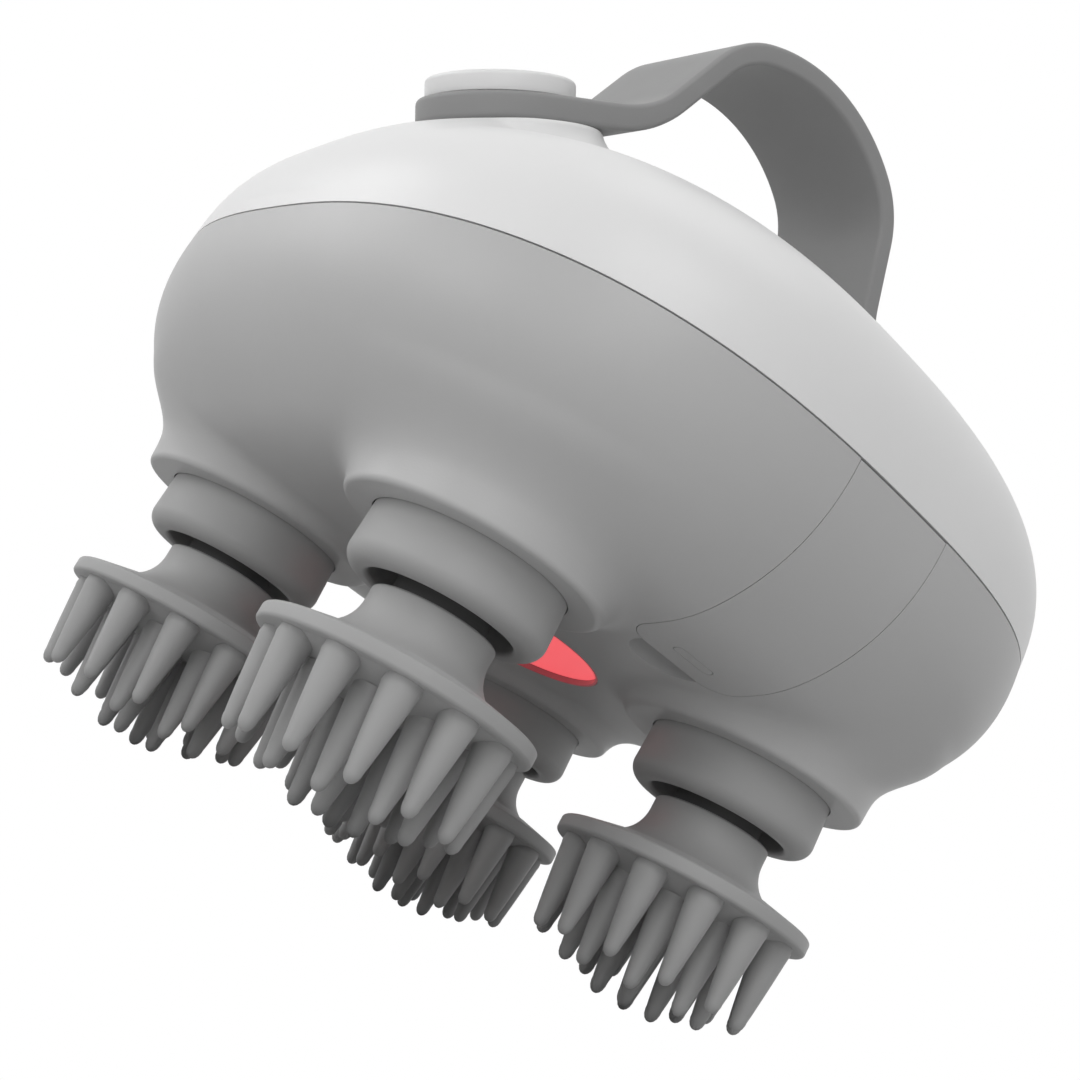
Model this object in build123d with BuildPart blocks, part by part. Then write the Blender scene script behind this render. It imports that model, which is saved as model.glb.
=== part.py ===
"""Electric scalp massager: a domed hand-held body on four motor-driven massage heads.

Frame: +Z up, origin on the standing surface below the middle of the body.
-X is the button side, -Y is the charging side. All sizes are in millimetres.
"""
import os
from math import atan2, cos, hypot, pi, radians, sin, sqrt, tan

from build123d import *

os.makedirs("parts", exist_ok=True)

# ---- driving dimensions: body -------------------------------------------------
HALF_X = 52.2            # half width of the body at the seam
HALF_Y = 52.8            # half depth of the body at the seam
SEAM_POWER = 2.6         # how square the plan is at the seam (2 is an ellipse)
BASE_POWER = 3.1         # how square the plan is low on the bowl
CAP_POWER = 2.0          # plan of the dome's crown
SEAM_Z = 54.7            # height of the joint line
DOME_RISE = 28.6         # crown above the joint line
DOME_SIDE = 2.54         # fullness of the dome's side
DOME_CROWN = 1.8         # fullness of the dome's crown
BOWL_DEPTH = 25.4        # depth the bowl's curve would reach
BOWL_SIDE = 2.2          # fullness of the bowl's side
BOWL_FLOOR = 3.35        # flatness of the bowl's floor
FLOOR_SHRINK = 0.2       # how much the plan draws in where the bowl turns into its floor
FLOOR_TURN = 20          # how suddenly it draws in
FLOOR_Z = 32.2           # flat underside between the heads
WALL = 2.2               # shell thickness
SEAM_GAP = 0.3           # height of the gasket line
SEAM_GROOVE = 0.6        # how far the gasket sits in from the surface
LIP_DEPTH = 2.2          # the cover's lip inside the bowl
LIP_WALL = 1.2
SLIP = 0.15              # clearance of parts that push together
RUNNING = 0.05           # radial clearance of parts that turn or slide
PLAN_POINTS = 24         # points on one plan outline
BOWL_SHARES = (0.0, 0.22, 0.42, 0.6, 0.76, 0.9, 0.96, 1.0)    # section heights down the bowl
DOME_SHARES = (0.2, 0.42, 0.62, 0.79, 0.91, 1.0)        # section heights up the dome
CROWN_SHARE = 0.3        # plan scale at which the round crown begins
CROWN_STEP = 0.05        # the crown's edge lies this far inside the last section

# ---- driving dimensions: gear train -------------------------------------------
GEAR_MODULE = 0.8
DRIVE_TEETH = 32
HEAD_TEETH = 33
PINION_TEETH = 12
FINE_MODULE = 0.5
REDUCTION_TEETH = 40
MOTOR_TEETH = 10
DEDENDUM = 1.25          # tooth root below the pitch line, in modules
FLANK_STEPS = 4          # straight pieces on one tooth flank
BACKLASH = 0.16          # total play at the pitch line
PRESSURE_ANGLE = radians(20)
REDUCTION_BEARING = radians(60)    # direction from the left drive gear to the reduction gear
MOTOR_BEARING = radians(-30)       # direction from the reduction gear to the motor
TRAY_Z = 38.0            # underside of the gear tray
PLATE_T = 1.6            # tray and cover thickness
GEAR_Z = 40.0
GEAR_FACE = 4.0          # face width of the coarse gears
GEAR_PLAY = 0.6          # above the gears
FINE_FACE = 2.5
PIN_R = 1.5
PINION_HUB_R = 3.6       # plain part between the two wheels of the reduction gear
PLATE_HALF = 38.6
POST_REACH = 35.8        # screw posts from the centre
POST_R = 2.6
SCREW_R = 1.2
SCREW_HEAD_R = 2.2
SCREW_HEAD_H = 1.4

# ---- driving dimensions: head stations ----------------------------------------
HEAD_Y = 23.8
BOSS_Z = 30.4            # ring faces of the four bosses
BOSS_R = 15.2
BOSS_WAIST_R = 14.2
BOSS_WAIST_Z = 33.0
BOSS_FLARE_R = 17.2
BOSS_FLARE_Z = 38.4
BOSS_FACE_T = 1.5
BOSS_ROOM_R = 12.6
COLLAR_R = 11.25
COLLAR_FLARE = 0.2       # the collar widens downwards
COLLAR_Z = 23.85
COLLAR_ROUND = 1.9
COLLAR_MOUTH_R = 8.45
COLLAR_FLANGE_R = 12.4
COLLAR_FLANGE_T = 1.2
SEAL_R = 7.2
SEAL_CLEAR = 0.3
BUSH_T = 2.4
BUSH_HUB_R = 6.0
POST_SHAFT_R = 5.4       # the thick lower part of a drive shaft
SHAFT_R = 3.0
JOURNAL_R = 2.0
SHAFT_FOOT_Z = 17.2
SHOULDER_GAP = 0.2
NECK_R = 7.15
NECK_Z = 23.1
CORE_R = 6.4
CORE_FLOOR_Z = 16.0
PLATE_NECK_R = 10.2
PLATE_NECK_Z = 17.5
PLATE_BEND_R = 6.4       # hollow curve from the neck to the plate
RIM_R = 15.7
RIM_TOP_Z = 16.3
RIM_MID_Z = 15.1
RIM_LOW_Z = 14.3
UNDERSIDE_R = 13.8
UNDERSIDE_Z = 14.2
CROWN_UNDER_Z = 11.1     # middle of the head's domed underside
NODULE_ROOT_R = 2.2
NODULE_TIP_R = 0.9
NODULE_FLAT_R = 0.35
NODULE_SINK = 1.0        # nodule root inside the plate
NODULE_RINGS = ((12, 12.6, 0.0, 3.3), (8, 8.25, 0.0, 1.6), (4, 3.4, 45.0, 0.0))

# ---- driving dimensions: lens and light ---------------------------------------
LENS_R = 13.6
LENS_RECESS = 0.8
LENS_FLANGE = 1.9
LENS_FLANGE_T = 1.0
LENS_WALL = 1.2
LED_BOARD_Z = 36.0
LED_BOARD_T = 1.2
LED_COUNT = 3
LED_RING_R = 7.0
LED_SIZE = 2.8
LED_H = 0.8

# ---- driving dimensions: charging side ----------------------------------------
DOOR_HALF = 7.7
DOOR_END_Y = -31.5
DOOR_CORNER = 3.5
DOOR_T = 1.5
DOOR_GAP = 0.12
DOOR_BACK = 1.7          # wall behind the door
DOOR_FRAME = 2.0         # the thicker wall beyond the door's edge
NOTCH_R = 4.7            # nail notch at the door's end
NOTCH_DEPTH = 1.9
NOTCH_WALL = 1.2         # wall behind the notch
PILL_LENGTH = 6.0
PILL_WIDTH = 1.5
PILL_Y = -35.0
PILL_T = 0.8
SOCKET_W = 9.0
SOCKET_H = 3.2
SOCKET_LENGTH = 6.6
SOCKET_Z = 44.0
SOCKET_WALL = 0.35
SOCKET_TONGUE_W = 6.3
SOCKET_FACE_Y = -47.0
CHARGE_BOARD_W = 16.0
CHARGE_BOARD_T = 1.2
CHARGE_BOARD_NEAR_Y = -43.4
CHARGE_BOARD_FAR_Y = -39.0
SHELF_T = 1.3
SHELF_W = 17.0
SHELF_NEAR_Y = -44.2
SHELF_FAR_Y = -39.5

# ---- driving dimensions: button, strap and stud -------------------------------
NECK_TILT = radians(34.4)
NECK_X = 33.96
NECK_TOP_Z = 80.44
PEDESTAL_R = 12.07
PEDESTAL_FLARE_R = 15.6
PEDESTAL_FLARE_H = 4.6
PEDESTAL_BEND_R = 6.4    # hollow curve of the flare
PEDESTAL_DEPTH = 8.0
BUTTON_R = 8.85
BUTTON_H = 2.03
BUTTON_SEAT = 3.5        # underside of the button above the neck
BUTTON_EDGE = 0.5
STEM_R = 6.6
STEM_DEPTH = 9.5
GUIDE_WALL = 1.15
GUIDE_DEPTH = 9.0
SWITCH_GAP = 0.55
SWITCH_SIZE = 6.0
SWITCH_H = 2.6
PLUNGER_R = 1.7
PLUNGER_H = 0.25
BOARD_LENGTH = 18.0
BOARD_WIDTH = 25.0
BOARD_T = 1.2
BOARD_POST_R = 2.2
BOARD_POST_Y = 10.2
BOARD_POST_ROOT = 4.0
BOARD_SCREW_R = 0.9
BOARD_HEAD_R = 1.8
STRAP_W = 19.8
STRAP_T = 2.75
STRAP_RING_T = 3.4       # thickness of the rings at the strap's ends
STRAP_SEAT_CLEAR = 0.15  # round a cap in its ring's counterbore
STRAP_LIFT = 0.05        # under the strap's end
STRAP_TOP_Z = 113.8
STRAP_TOP_R = 25.0       # outer radius of the hump's top
STRAP_SHOULDER_R = 14.5  # outer radius of the hump's shoulders
STRAP_SHOULDER = radians(30)       # slope at which the shoulders begin
STRAP_LEG = radians(70)
STRAP_BEND_R = 16.0      # from a ring to a leg
STUD_NUT_R = 10.4
STUD_NUT_T = 2.4
STUD_NUT_DEPTH = 12.0

# ---- driving dimensions: motor and battery ------------------------------------
MOTOR_R = 12.0
MOTOR_LENGTH = 20.4
MOTOR_EDGE = 0.6
MOTOR_SHAFT_R = 1.0
MOTOR_HUB_R = 3.0
BRACKET_Z = 51.0
BRACKET_HALF_X = 22.0
BRACKET_LOW_Y = -1.5
BRACKET_HIGH_Y = 30.0
BRACKET_LEG_R = 2.5
BRACKET_LEG_INSET = 2.6
BATTERY_R = 7.0
BATTERY_LENGTH = 49.0
BATTERY_TIP_R = 2.8
BATTERY_Y = -16.0
CRADLE_WALL = 0.8
CRADLE_FLOOR = 1.0
CRADLE_H = 6.0
CRADLE_LENGTH = 44.0

# ---- worked out ----------------------------------------------------------------
DRIVE_X = GEAR_MODULE * DRIVE_TEETH / 2
HEAD_CENTRES = GEAR_MODULE * (DRIVE_TEETH + HEAD_TEETH) / 2
HEAD_X = DRIVE_X + sqrt(HEAD_CENTRES ** 2 - HEAD_Y ** 2)
STATIONS = {
    "front_left": (-HEAD_X, -HEAD_Y),
    "back_left": (-HEAD_X, HEAD_Y),
    "front_right": (HEAD_X, -HEAD_Y),
    "back_right": (HEAD_X, HEAD_Y),
}
REDUCTION_CENTRES = GEAR_MODULE * (DRIVE_TEETH + PINION_TEETH) / 2
REDUCTION_X = -DRIVE_X + REDUCTION_CENTRES * cos(REDUCTION_BEARING)
REDUCTION_Y = REDUCTION_CENTRES * sin(REDUCTION_BEARING)
MOTOR_CENTRES = FINE_MODULE * (REDUCTION_TEETH + MOTOR_TEETH) / 2
MOTOR_X = REDUCTION_X + MOTOR_CENTRES * cos(MOTOR_BEARING)
MOTOR_Y = REDUCTION_Y + MOTOR_CENTRES * sin(MOTOR_BEARING)
COVER_Z = GEAR_Z + GEAR_FACE + GEAR_PLAY
COVER_TOP_Z = COVER_Z + PLATE_T
TRAY_TOP_Z = TRAY_Z + PLATE_T
FINE_Z = COVER_TOP_Z + GEAR_PLAY
BOSS_ROOM_Z = BOSS_Z + BOSS_FACE_T
BUSH_Z = BOSS_ROOM_Z + COLLAR_FLANGE_T
GUIDE_R = STEM_R + RUNNING + GUIDE_WALL
POSTS = [(POST_REACH, 0), (-POST_REACH, 0), (0, POST_REACH), (0, -POST_REACH)]
INNER_FLOOR_Z = FLOOR_Z + WALL * (SEAM_Z - FLOOR_Z) / BOWL_DEPTH
FRONT = Plane((-NECK_X, 0, NECK_TOP_Z), x_dir=(cos(NECK_TILT), 0, sin(NECK_TILT)),
              z_dir=(-sin(NECK_TILT), 0, cos(NECK_TILT)))
REAR = Plane((NECK_X, 0, NECK_TOP_Z), x_dir=(cos(NECK_TILT), 0, -sin(NECK_TILT)),
             z_dir=(sin(NECK_TILT), 0, cos(NECK_TILT)))


def plan_points(half_x, half_y, power):
    """Points round a rounded-square outline, by its polar formula."""
    points = []
    for step in range(PLAN_POINTS):
        turn = 2 * pi * step / PLAN_POINTS
        across = abs(cos(turn)) / half_x
        along = abs(sin(turn)) / half_y
        reach = (across ** power + along ** power) ** (-1 / power)
        points.append((reach * cos(turn), reach * sin(turn)))
    return points


def plan_sketch(height, half_x, half_y, power):
    """A filled rounded-square outline at a height."""
    with BuildSketch(Plane.XY.offset(height)) as outline:
        with BuildLine():
            Spline(*plan_points(half_x, half_y, power), periodic=True)
        make_face()
    return outline.sketch


def bowl(inset, raise_top=0.0):
    """The lower body's outer form, moved in by inset, as a solid."""
    depth = BOWL_DEPTH - inset
    end = (SEAM_Z - FLOOR_Z) / BOWL_DEPTH
    sections = []
    if raise_top:
        sections.append(plan_sketch(SEAM_Z + raise_top, HALF_X - inset, HALF_Y - inset, SEAM_POWER))
    for share in BOWL_SHARES:
        drop = share * end
        scale = (1 - drop ** BOWL_SIDE) ** (1 / BOWL_FLOOR) * (1 - FLOOR_SHRINK * share ** FLOOR_TURN)
        power = SEAM_POWER + (BASE_POWER - SEAM_POWER) * drop
        sections.append(plan_sketch(SEAM_Z - drop * depth, scale * (HALF_X - inset),
                                    scale * (HALF_Y - inset), power))
    with BuildPart() as form:
        loft(sections=[s.face() for s in sections])
    return form.part


def dome(inset, lower_edge):
    """The top cover's outer form, moved in by inset, as a solid."""
    rise = DOME_RISE - inset
    crown_start = (1 - CROWN_SHARE ** DOME_CROWN) ** (1 / DOME_SIDE)
    sections = [plan_sketch(lower_edge, HALF_X - inset, HALF_Y - inset, SEAM_POWER)]
    for share in DOME_SHARES:
        lift = share * crown_start
        scale = (1 - lift ** DOME_SIDE) ** (1 / DOME_CROWN)
        power = SEAM_POWER + (CAP_POWER - SEAM_POWER) * share
        half_y = HALF_Y + (HALF_X - HALF_Y) * share
        sections.append(plan_sketch(SEAM_Z + lift * rise, scale * (HALF_X - inset),
                                    scale * (half_y - inset), power))
    crown_z = SEAM_Z + crown_start * rise
    top_z = SEAM_Z + rise
    crown_x = CROWN_SHARE * (HALF_X - inset) - CROWN_STEP
    with BuildPart() as form:
        loft(sections=[s.face() for s in sections])
        with BuildSketch(Plane.XZ):
            with BuildLine():
                Line((0, crown_z), (crown_x, crown_z))
                RadiusArc((crown_x, crown_z), (0, top_z), -crown_radius(crown_x, top_z - crown_z))
                Line((0, top_z), (0, crown_z))
            make_face()
        revolve(axis=Axis.Z)
    return form.part


def crown_radius(half_width, height):
    """Radius of the arc that spans a crown of this half width and height."""
    return (half_width ** 2 + height ** 2) / (2 * height)


def station_plane(x, y):
    """Upright plane through a vertical axis, with local x outwards and local y up."""
    return Plane((x, y, 0), x_dir=(1, 0, 0), z_dir=(0, -1, 0))


def involute(base_r, reach):
    """Angle that an involute has turned through when it reaches a radius."""
    roll = sqrt(max(0.0, (reach / base_r) ** 2 - 1))
    return roll - atan2(roll, 1)


def gear_outline(x, y, module, teeth, phase):
    """Closed outline of a spur gear with involute flanks, one tooth centred on phase."""
    pitch_r = module * teeth / 2
    base_r = pitch_r * cos(PRESSURE_ANGLE)
    tip_r = pitch_r + module
    root_r = pitch_r - DEDENDUM * module
    half_pitch = (pi * module / 2 - BACKLASH / 2) / (2 * pitch_r)
    start_r = max(base_r, root_r)
    flank = []
    for step in range(FLANK_STEPS + 1):
        reach = start_r + (tip_r - start_r) * step / FLANK_STEPS
        flank.append((reach, half_pitch + involute(base_r, pitch_r) - involute(base_r, reach)))
    if root_r < base_r:
        flank.insert(0, (root_r, flank[0][1]))
    points = []
    for tooth in range(teeth):
        middle = phase + 2 * pi * tooth / teeth
        for reach, half in flank:
            points.append((x + reach * cos(middle - half), y + reach * sin(middle - half)))
        for reach, half in reversed(flank):
            points.append((x + reach * cos(middle + half), y + reach * sin(middle + half)))
    return points


def mesh_phase(driver, driver_teeth, driver_phase, driven, driven_teeth):
    """Phase that puts a driven gear's gaps on the driver's teeth."""
    bearing = atan2(driven[1] - driver[1], driven[0] - driver[0])
    driver_share = (bearing - driver_phase) * driver_teeth / (2 * pi)
    driven_share = 0.5 - driver_share
    return bearing + pi - driven_share * 2 * pi / driven_teeth


DRIVE_LEFT = (-DRIVE_X, 0)
DRIVE_RIGHT = (DRIVE_X, 0)
LEFT_PHASE = 0.0
RIGHT_PHASE = mesh_phase(DRIVE_LEFT, DRIVE_TEETH, LEFT_PHASE, DRIVE_RIGHT, DRIVE_TEETH)
REDUCTION_PHASE = mesh_phase(DRIVE_LEFT, DRIVE_TEETH, LEFT_PHASE, (REDUCTION_X, REDUCTION_Y), PINION_TEETH)
MOTOR_PHASE = mesh_phase((REDUCTION_X, REDUCTION_Y), REDUCTION_TEETH, 0.0, (MOTOR_X, MOTOR_Y), MOTOR_TEETH)


def door_sketch(grow):
    """Plan of the charging door: a tongue with round inner corners, open outwards."""
    outer_y = -(HALF_Y + DOOR_FRAME)
    with BuildSketch(Plane.XY) as tongue:
        with BuildLine():
            left = DOOR_HALF + grow
            inner = DOOR_END_Y + grow
            FilletPolyline((-left, outer_y), (-left, inner), (left, inner), (left, outer_y),
                           radius=DOOR_CORNER + grow)
            Line((left, outer_y), (-left, outer_y))
        make_face()
    return tongue.sketch


# ---- top cover -----------------------------------------------------------------
with BuildPart() as top_cover:
    add(dome(0.0, SEAM_Z + SEAM_GAP / 2))
    for neck in (FRONT, REAR):
        with BuildSketch(Plane(neck.origin, x_dir=neck.x_dir, z_dir=-neck.y_dir)):
            with BuildLine():
                Polyline((PEDESTAL_R, 0), (0, 0), (0, -PEDESTAL_DEPTH),
                         (PEDESTAL_FLARE_R, -PEDESTAL_DEPTH), (PEDESTAL_FLARE_R, -PEDESTAL_FLARE_H))
                RadiusArc((PEDESTAL_FLARE_R, -PEDESTAL_FLARE_H), (PEDESTAL_R, 0), PEDESTAL_BEND_R)
            make_face()
        revolve(axis=Axis(neck.origin, neck.z_dir))
    add(dome(WALL, SEAM_Z - SEAM_GAP), mode=Mode.SUBTRACT)
    for lip_low, lip_high, lip_inset in ((SEAM_Z - LIP_DEPTH, SEAM_Z + SEAM_GAP / 2, WALL + SLIP),
                                         (SEAM_Z + SEAM_GAP / 2, SEAM_Z + LIP_DEPTH, WALL - SLIP)):
        lip_core = WALL + SLIP + LIP_WALL
        with BuildSketch(Plane.XY.offset(lip_low)):
            add(plan_sketch(0, HALF_X - lip_inset, HALF_Y - lip_inset, SEAM_POWER))
            add(plan_sketch(0, HALF_X - lip_core, HALF_Y - lip_core, SEAM_POWER), mode=Mode.SUBTRACT)
        extrude(amount=lip_high - lip_low)
    with BuildSketch(FRONT.offset(-BOARD_POST_ROOT)):
        with Locations((0, BOARD_POST_Y), (0, -BOARD_POST_Y)):
            Circle(BOARD_POST_R)
    extrude(amount=-(STEM_DEPTH + SWITCH_GAP + PLUNGER_H + SWITCH_H - BOARD_POST_ROOT))
    for neck in (FRONT, REAR):
        with BuildSketch(neck.offset(BUTTON_SEAT)):
            Circle(GUIDE_R + RUNNING)
        extrude(amount=-(BUTTON_SEAT + PEDESTAL_DEPTH + WALL), mode=Mode.SUBTRACT)
    with BuildSketch(FRONT.offset(-(STEM_DEPTH + SWITCH_GAP + PLUNGER_H + SWITCH_H))):
        with Locations((0, BOARD_POST_Y), (0, -BOARD_POST_Y)):
            Circle(BOARD_SCREW_R)
    extrude(amount=BOARD_POST_ROOT, mode=Mode.SUBTRACT)
top_cover.part.label = "top_cover"
export_step(top_cover.part, "parts/top_cover.step")

# ---- lower shell ----------------------------------------------------------------
with BuildPart() as lower_shell:
    add(bowl(0.0))
    for x, y in STATIONS.values():
        with BuildSketch(station_plane(x, y)):
            with BuildLine():
                Polyline((BOSS_R, BOSS_Z), (0, BOSS_Z), (0, BOSS_FLARE_Z), (BOSS_FLARE_R, BOSS_FLARE_Z))
                ThreePointArc((BOSS_FLARE_R, BOSS_FLARE_Z), (BOSS_WAIST_R, BOSS_WAIST_Z), (BOSS_R, BOSS_Z))
            make_face()
        revolve(axis=Axis((x, y, 0), (0, 0, 1)))
    with BuildSketch(Plane.XY.offset(SEAM_Z - SEAM_GAP / 2)):
        Rectangle(3 * HALF_X, 3 * HALF_Y)
    extrude(amount=SEAM_GAP, mode=Mode.SUBTRACT)
    add(bowl(WALL, SEAM_GAP), mode=Mode.SUBTRACT)
    with BuildPart(mode=Mode.PRIVATE) as door_back:
        add(bowl(DOOR_T + DOOR_GAP))
        with BuildSketch():
            add(door_sketch(DOOR_FRAME))
        extrude(amount=SEAM_Z - SEAM_GAP / 2 - LIP_DEPTH - SLIP, mode=Mode.INTERSECT)
        add(bowl(DOOR_T + DOOR_GAP + DOOR_BACK, SEAM_GAP), mode=Mode.SUBTRACT)
    add(door_back.part)
    with BuildSketch(Plane.XY.offset(FLOOR_Z + NOTCH_DEPTH - SLIP)):
        with Locations((0, DOOR_END_Y)):
            Circle(NOTCH_R + NOTCH_WALL)
    extrude(amount=NOTCH_WALL + SLIP)
    with BuildSketch(Plane.XY.offset(INNER_FLOOR_Z + SLIP)):
        with Locations(*POSTS):
            Circle(POST_R)
    extrude(amount=TRAY_Z - INNER_FLOOR_Z - SLIP)
    with BuildPart(mode=Mode.PRIVATE) as door_room:
        with BuildSketch():
            add(door_sketch(DOOR_GAP))
        extrude(amount=SEAM_Z)
        add(bowl(DOOR_T + DOOR_GAP, SEAM_GAP), mode=Mode.SUBTRACT)
    add(door_room.part, mode=Mode.SUBTRACT)
    with BuildSketch(Plane.XY.offset(TRAY_Z)):
        with Locations(*POSTS):
            Circle(SCREW_R)
    extrude(amount=-2 * SCREW_R, mode=Mode.SUBTRACT)
    for x, y in STATIONS.values():
        with BuildSketch(Plane.XY.offset(BOSS_ROOM_Z)):
            with Locations((x, y)):
                Circle(BOSS_ROOM_R)
        extrude(amount=TRAY_Z - BOSS_ROOM_Z, mode=Mode.SUBTRACT)
        with BuildSketch(Plane.XY.offset(BOSS_ROOM_Z)):
            with Locations((x, y)):
                Circle(COLLAR_R + SLIP)
        extrude(amount=-2 * BOSS_FACE_T, mode=Mode.SUBTRACT)
    with BuildSketch(Plane.XY.offset(FLOOR_Z - SLIP)):
        Circle(LENS_R)
    extrude(amount=2 * WALL, mode=Mode.SUBTRACT)
    with BuildSketch(Plane.XY.offset(FLOOR_Z + NOTCH_DEPTH)):
        with Locations((0, DOOR_END_Y)):
            Circle(NOTCH_R)
    extrude(amount=-2 * NOTCH_DEPTH, mode=Mode.SUBTRACT)
    with BuildSketch(Plane.XY.offset(SOCKET_Z - SOCKET_H / 2 - CHARGE_BOARD_T)):
        with Locations((0, (SHELF_NEAR_Y + SHELF_FAR_Y) / 2)):
            Rectangle(SHELF_W, SHELF_FAR_Y - SHELF_NEAR_Y)
    extrude(amount=-SHELF_T)
    with BuildSketch(Plane((0, -HALF_Y, SOCKET_Z), x_dir=(1, 0, 0), z_dir=(0, -1, 0))):
        SlotOverall(SOCKET_W + 2 * DOOR_GAP, SOCKET_H + 2 * DOOR_GAP)
    extrude(amount=-2 * SOCKET_LENGTH, mode=Mode.SUBTRACT)
lower_shell.part.label = "lower_shell"
export_step(lower_shell.part, "parts/lower_shell.step")

with BuildPart() as seam_gasket:
    with BuildSketch(Plane.XY.offset(SEAM_Z - SEAM_GAP / 2)):
        add(plan_sketch(0, HALF_X - SEAM_GROOVE, HALF_Y - SEAM_GROOVE, SEAM_POWER))
        add(plan_sketch(0, HALF_X - WALL, HALF_Y - WALL, SEAM_POWER), mode=Mode.SUBTRACT)
    extrude(amount=SEAM_GAP)
seam_gasket.part.label = "seam_gasket"
export_step(seam_gasket.part, "parts/seam_gasket.step")

# ---- charging door, socket and board ----------------------------------------------
with BuildPart() as port_cover:
    add(bowl(0.0))
    with BuildSketch():
        add(door_sketch(0.0))
    extrude(amount=SEAM_Z - SEAM_GAP / 2 - DOOR_GAP, mode=Mode.INTERSECT)
    add(bowl(DOOR_T, SEAM_GAP), mode=Mode.SUBTRACT)
    with BuildSketch(Plane.XY):
        with Locations((0, PILL_Y)):
            SlotOverall(PILL_LENGTH, PILL_WIDTH)
    extrude(amount=SEAM_Z, mode=Mode.SUBTRACT)
port_cover.part.label = "port_cover"
export_step(port_cover.part, "parts/port_cover.step")

with BuildPart() as charge_window:
    add(bowl(0.0))
    with BuildSketch(Plane.XY):
        with Locations((0, PILL_Y)):
            SlotOverall(PILL_LENGTH - RUNNING, PILL_WIDTH - RUNNING)
    extrude(amount=SEAM_Z - BOWL_DEPTH / 2, mode=Mode.INTERSECT)
    add(bowl(PILL_T), mode=Mode.SUBTRACT)
charge_window.part.label = "charge_window"
export_step(charge_window.part, "parts/charge_window.step")

SOCKET_PLANE = Plane((0, SOCKET_FACE_Y, SOCKET_Z), x_dir=(1, 0, 0), z_dir=(0, -1, 0))
with BuildPart() as charging_socket:
    with BuildSketch(SOCKET_PLANE):
        SlotOverall(SOCKET_W, SOCKET_H)
    extrude(amount=-SOCKET_LENGTH)
    with BuildSketch(SOCKET_PLANE):
        SlotOverall(SOCKET_W - 2 * SOCKET_WALL, SOCKET_H - 2 * SOCKET_WALL)
    extrude(amount=-(SOCKET_LENGTH - SOCKET_WALL), mode=Mode.SUBTRACT)
    with BuildSketch(SOCKET_PLANE.offset(-SOCKET_WALL)):
        Rectangle(SOCKET_TONGUE_W, 2 * SOCKET_WALL)
    extrude(amount=-(SOCKET_LENGTH - SOCKET_WALL))
charging_socket.part.label = "charging_socket"
export_step(charging_socket.part, "parts/charging_socket.step")

with BuildPart() as charging_board:
    with BuildSketch(Plane.XY.offset(SOCKET_Z - SOCKET_H / 2 - CHARGE_BOARD_T)):
        with Locations((0, (CHARGE_BOARD_NEAR_Y + CHARGE_BOARD_FAR_Y) / 2)):
            Rectangle(CHARGE_BOARD_W, CHARGE_BOARD_FAR_Y - CHARGE_BOARD_NEAR_Y)
    extrude(amount=CHARGE_BOARD_T)
charging_board.part.label = "charging_board"
export_step(charging_board.part, "parts/charging_board.step")

# ---- light ------------------------------------------------------------------------
LENS_TOP_Z = INNER_FLOOR_Z + LENS_FLANGE_T
with BuildPart() as led_lens:
    with BuildSketch(Plane.XY.offset(FLOOR_Z + LENS_RECESS)):
        Circle(LENS_R - SLIP)
    extrude(amount=INNER_FLOOR_Z - FLOOR_Z - LENS_RECESS)
    with BuildSketch(Plane.XY.offset(INNER_FLOOR_Z)):
        Circle(LENS_R + LENS_FLANGE)
    extrude(amount=LENS_FLANGE_T)
    with BuildSketch(Plane.XY.offset(LENS_TOP_Z)):
        Circle(LENS_R)
        Circle(LENS_R - LENS_WALL, mode=Mode.SUBTRACT)
    extrude(amount=LED_BOARD_Z - LENS_TOP_Z)
led_lens.part.label = "led_lens"
export_step(led_lens.part, "parts/led_lens.step")

with BuildPart() as led_board:
    with BuildSketch(Plane.XY.offset(LED_BOARD_Z)):
        Circle(LENS_R)
    extrude(amount=LED_BOARD_T)
led_board.part.label = "led_board"
export_step(led_board.part, "parts/led_board.step")

with BuildPart() as led_chips:
    with BuildSketch(Plane.XY.offset(LED_BOARD_Z - LED_H)):
        with PolarLocations(LED_RING_R, LED_COUNT):
            Rectangle(LED_SIZE, LED_SIZE)
    extrude(amount=LED_H)
led_chips.part.label = "led_chips"
export_step(led_chips.part, "parts/led_chips.step")

# ---- gearbox ------------------------------------------------------------------------
PIN_SPOTS = [(-DRIVE_X, 0), (DRIVE_X, 0), (REDUCTION_X, REDUCTION_Y)]
with BuildPart() as gear_tray:
    with BuildSketch(Plane.XY.offset(TRAY_Z)):
        add(plan_sketch(0, PLATE_HALF, PLATE_HALF, BASE_POWER))
        with Locations(*STATIONS.values()):
            Circle(SHAFT_R + SEAL_CLEAR, mode=Mode.SUBTRACT)
        with Locations(*PIN_SPOTS):
            Circle(PIN_R, mode=Mode.SUBTRACT)
    extrude(amount=PLATE_T)
    with BuildSketch(Plane.XY.offset(TRAY_TOP_Z)):
        with Locations(*POSTS):
            Circle(POST_R)
    extrude(amount=COVER_Z - TRAY_TOP_Z)
    with BuildSketch(Plane.XY.offset(TRAY_Z)):
        with Locations(*POSTS):
            Circle(SCREW_R + RUNNING)
    extrude(amount=COVER_Z - TRAY_Z, mode=Mode.SUBTRACT)
gear_tray.part.label = "gear_tray"
export_step(gear_tray.part, "parts/gear_tray.step")

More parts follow.
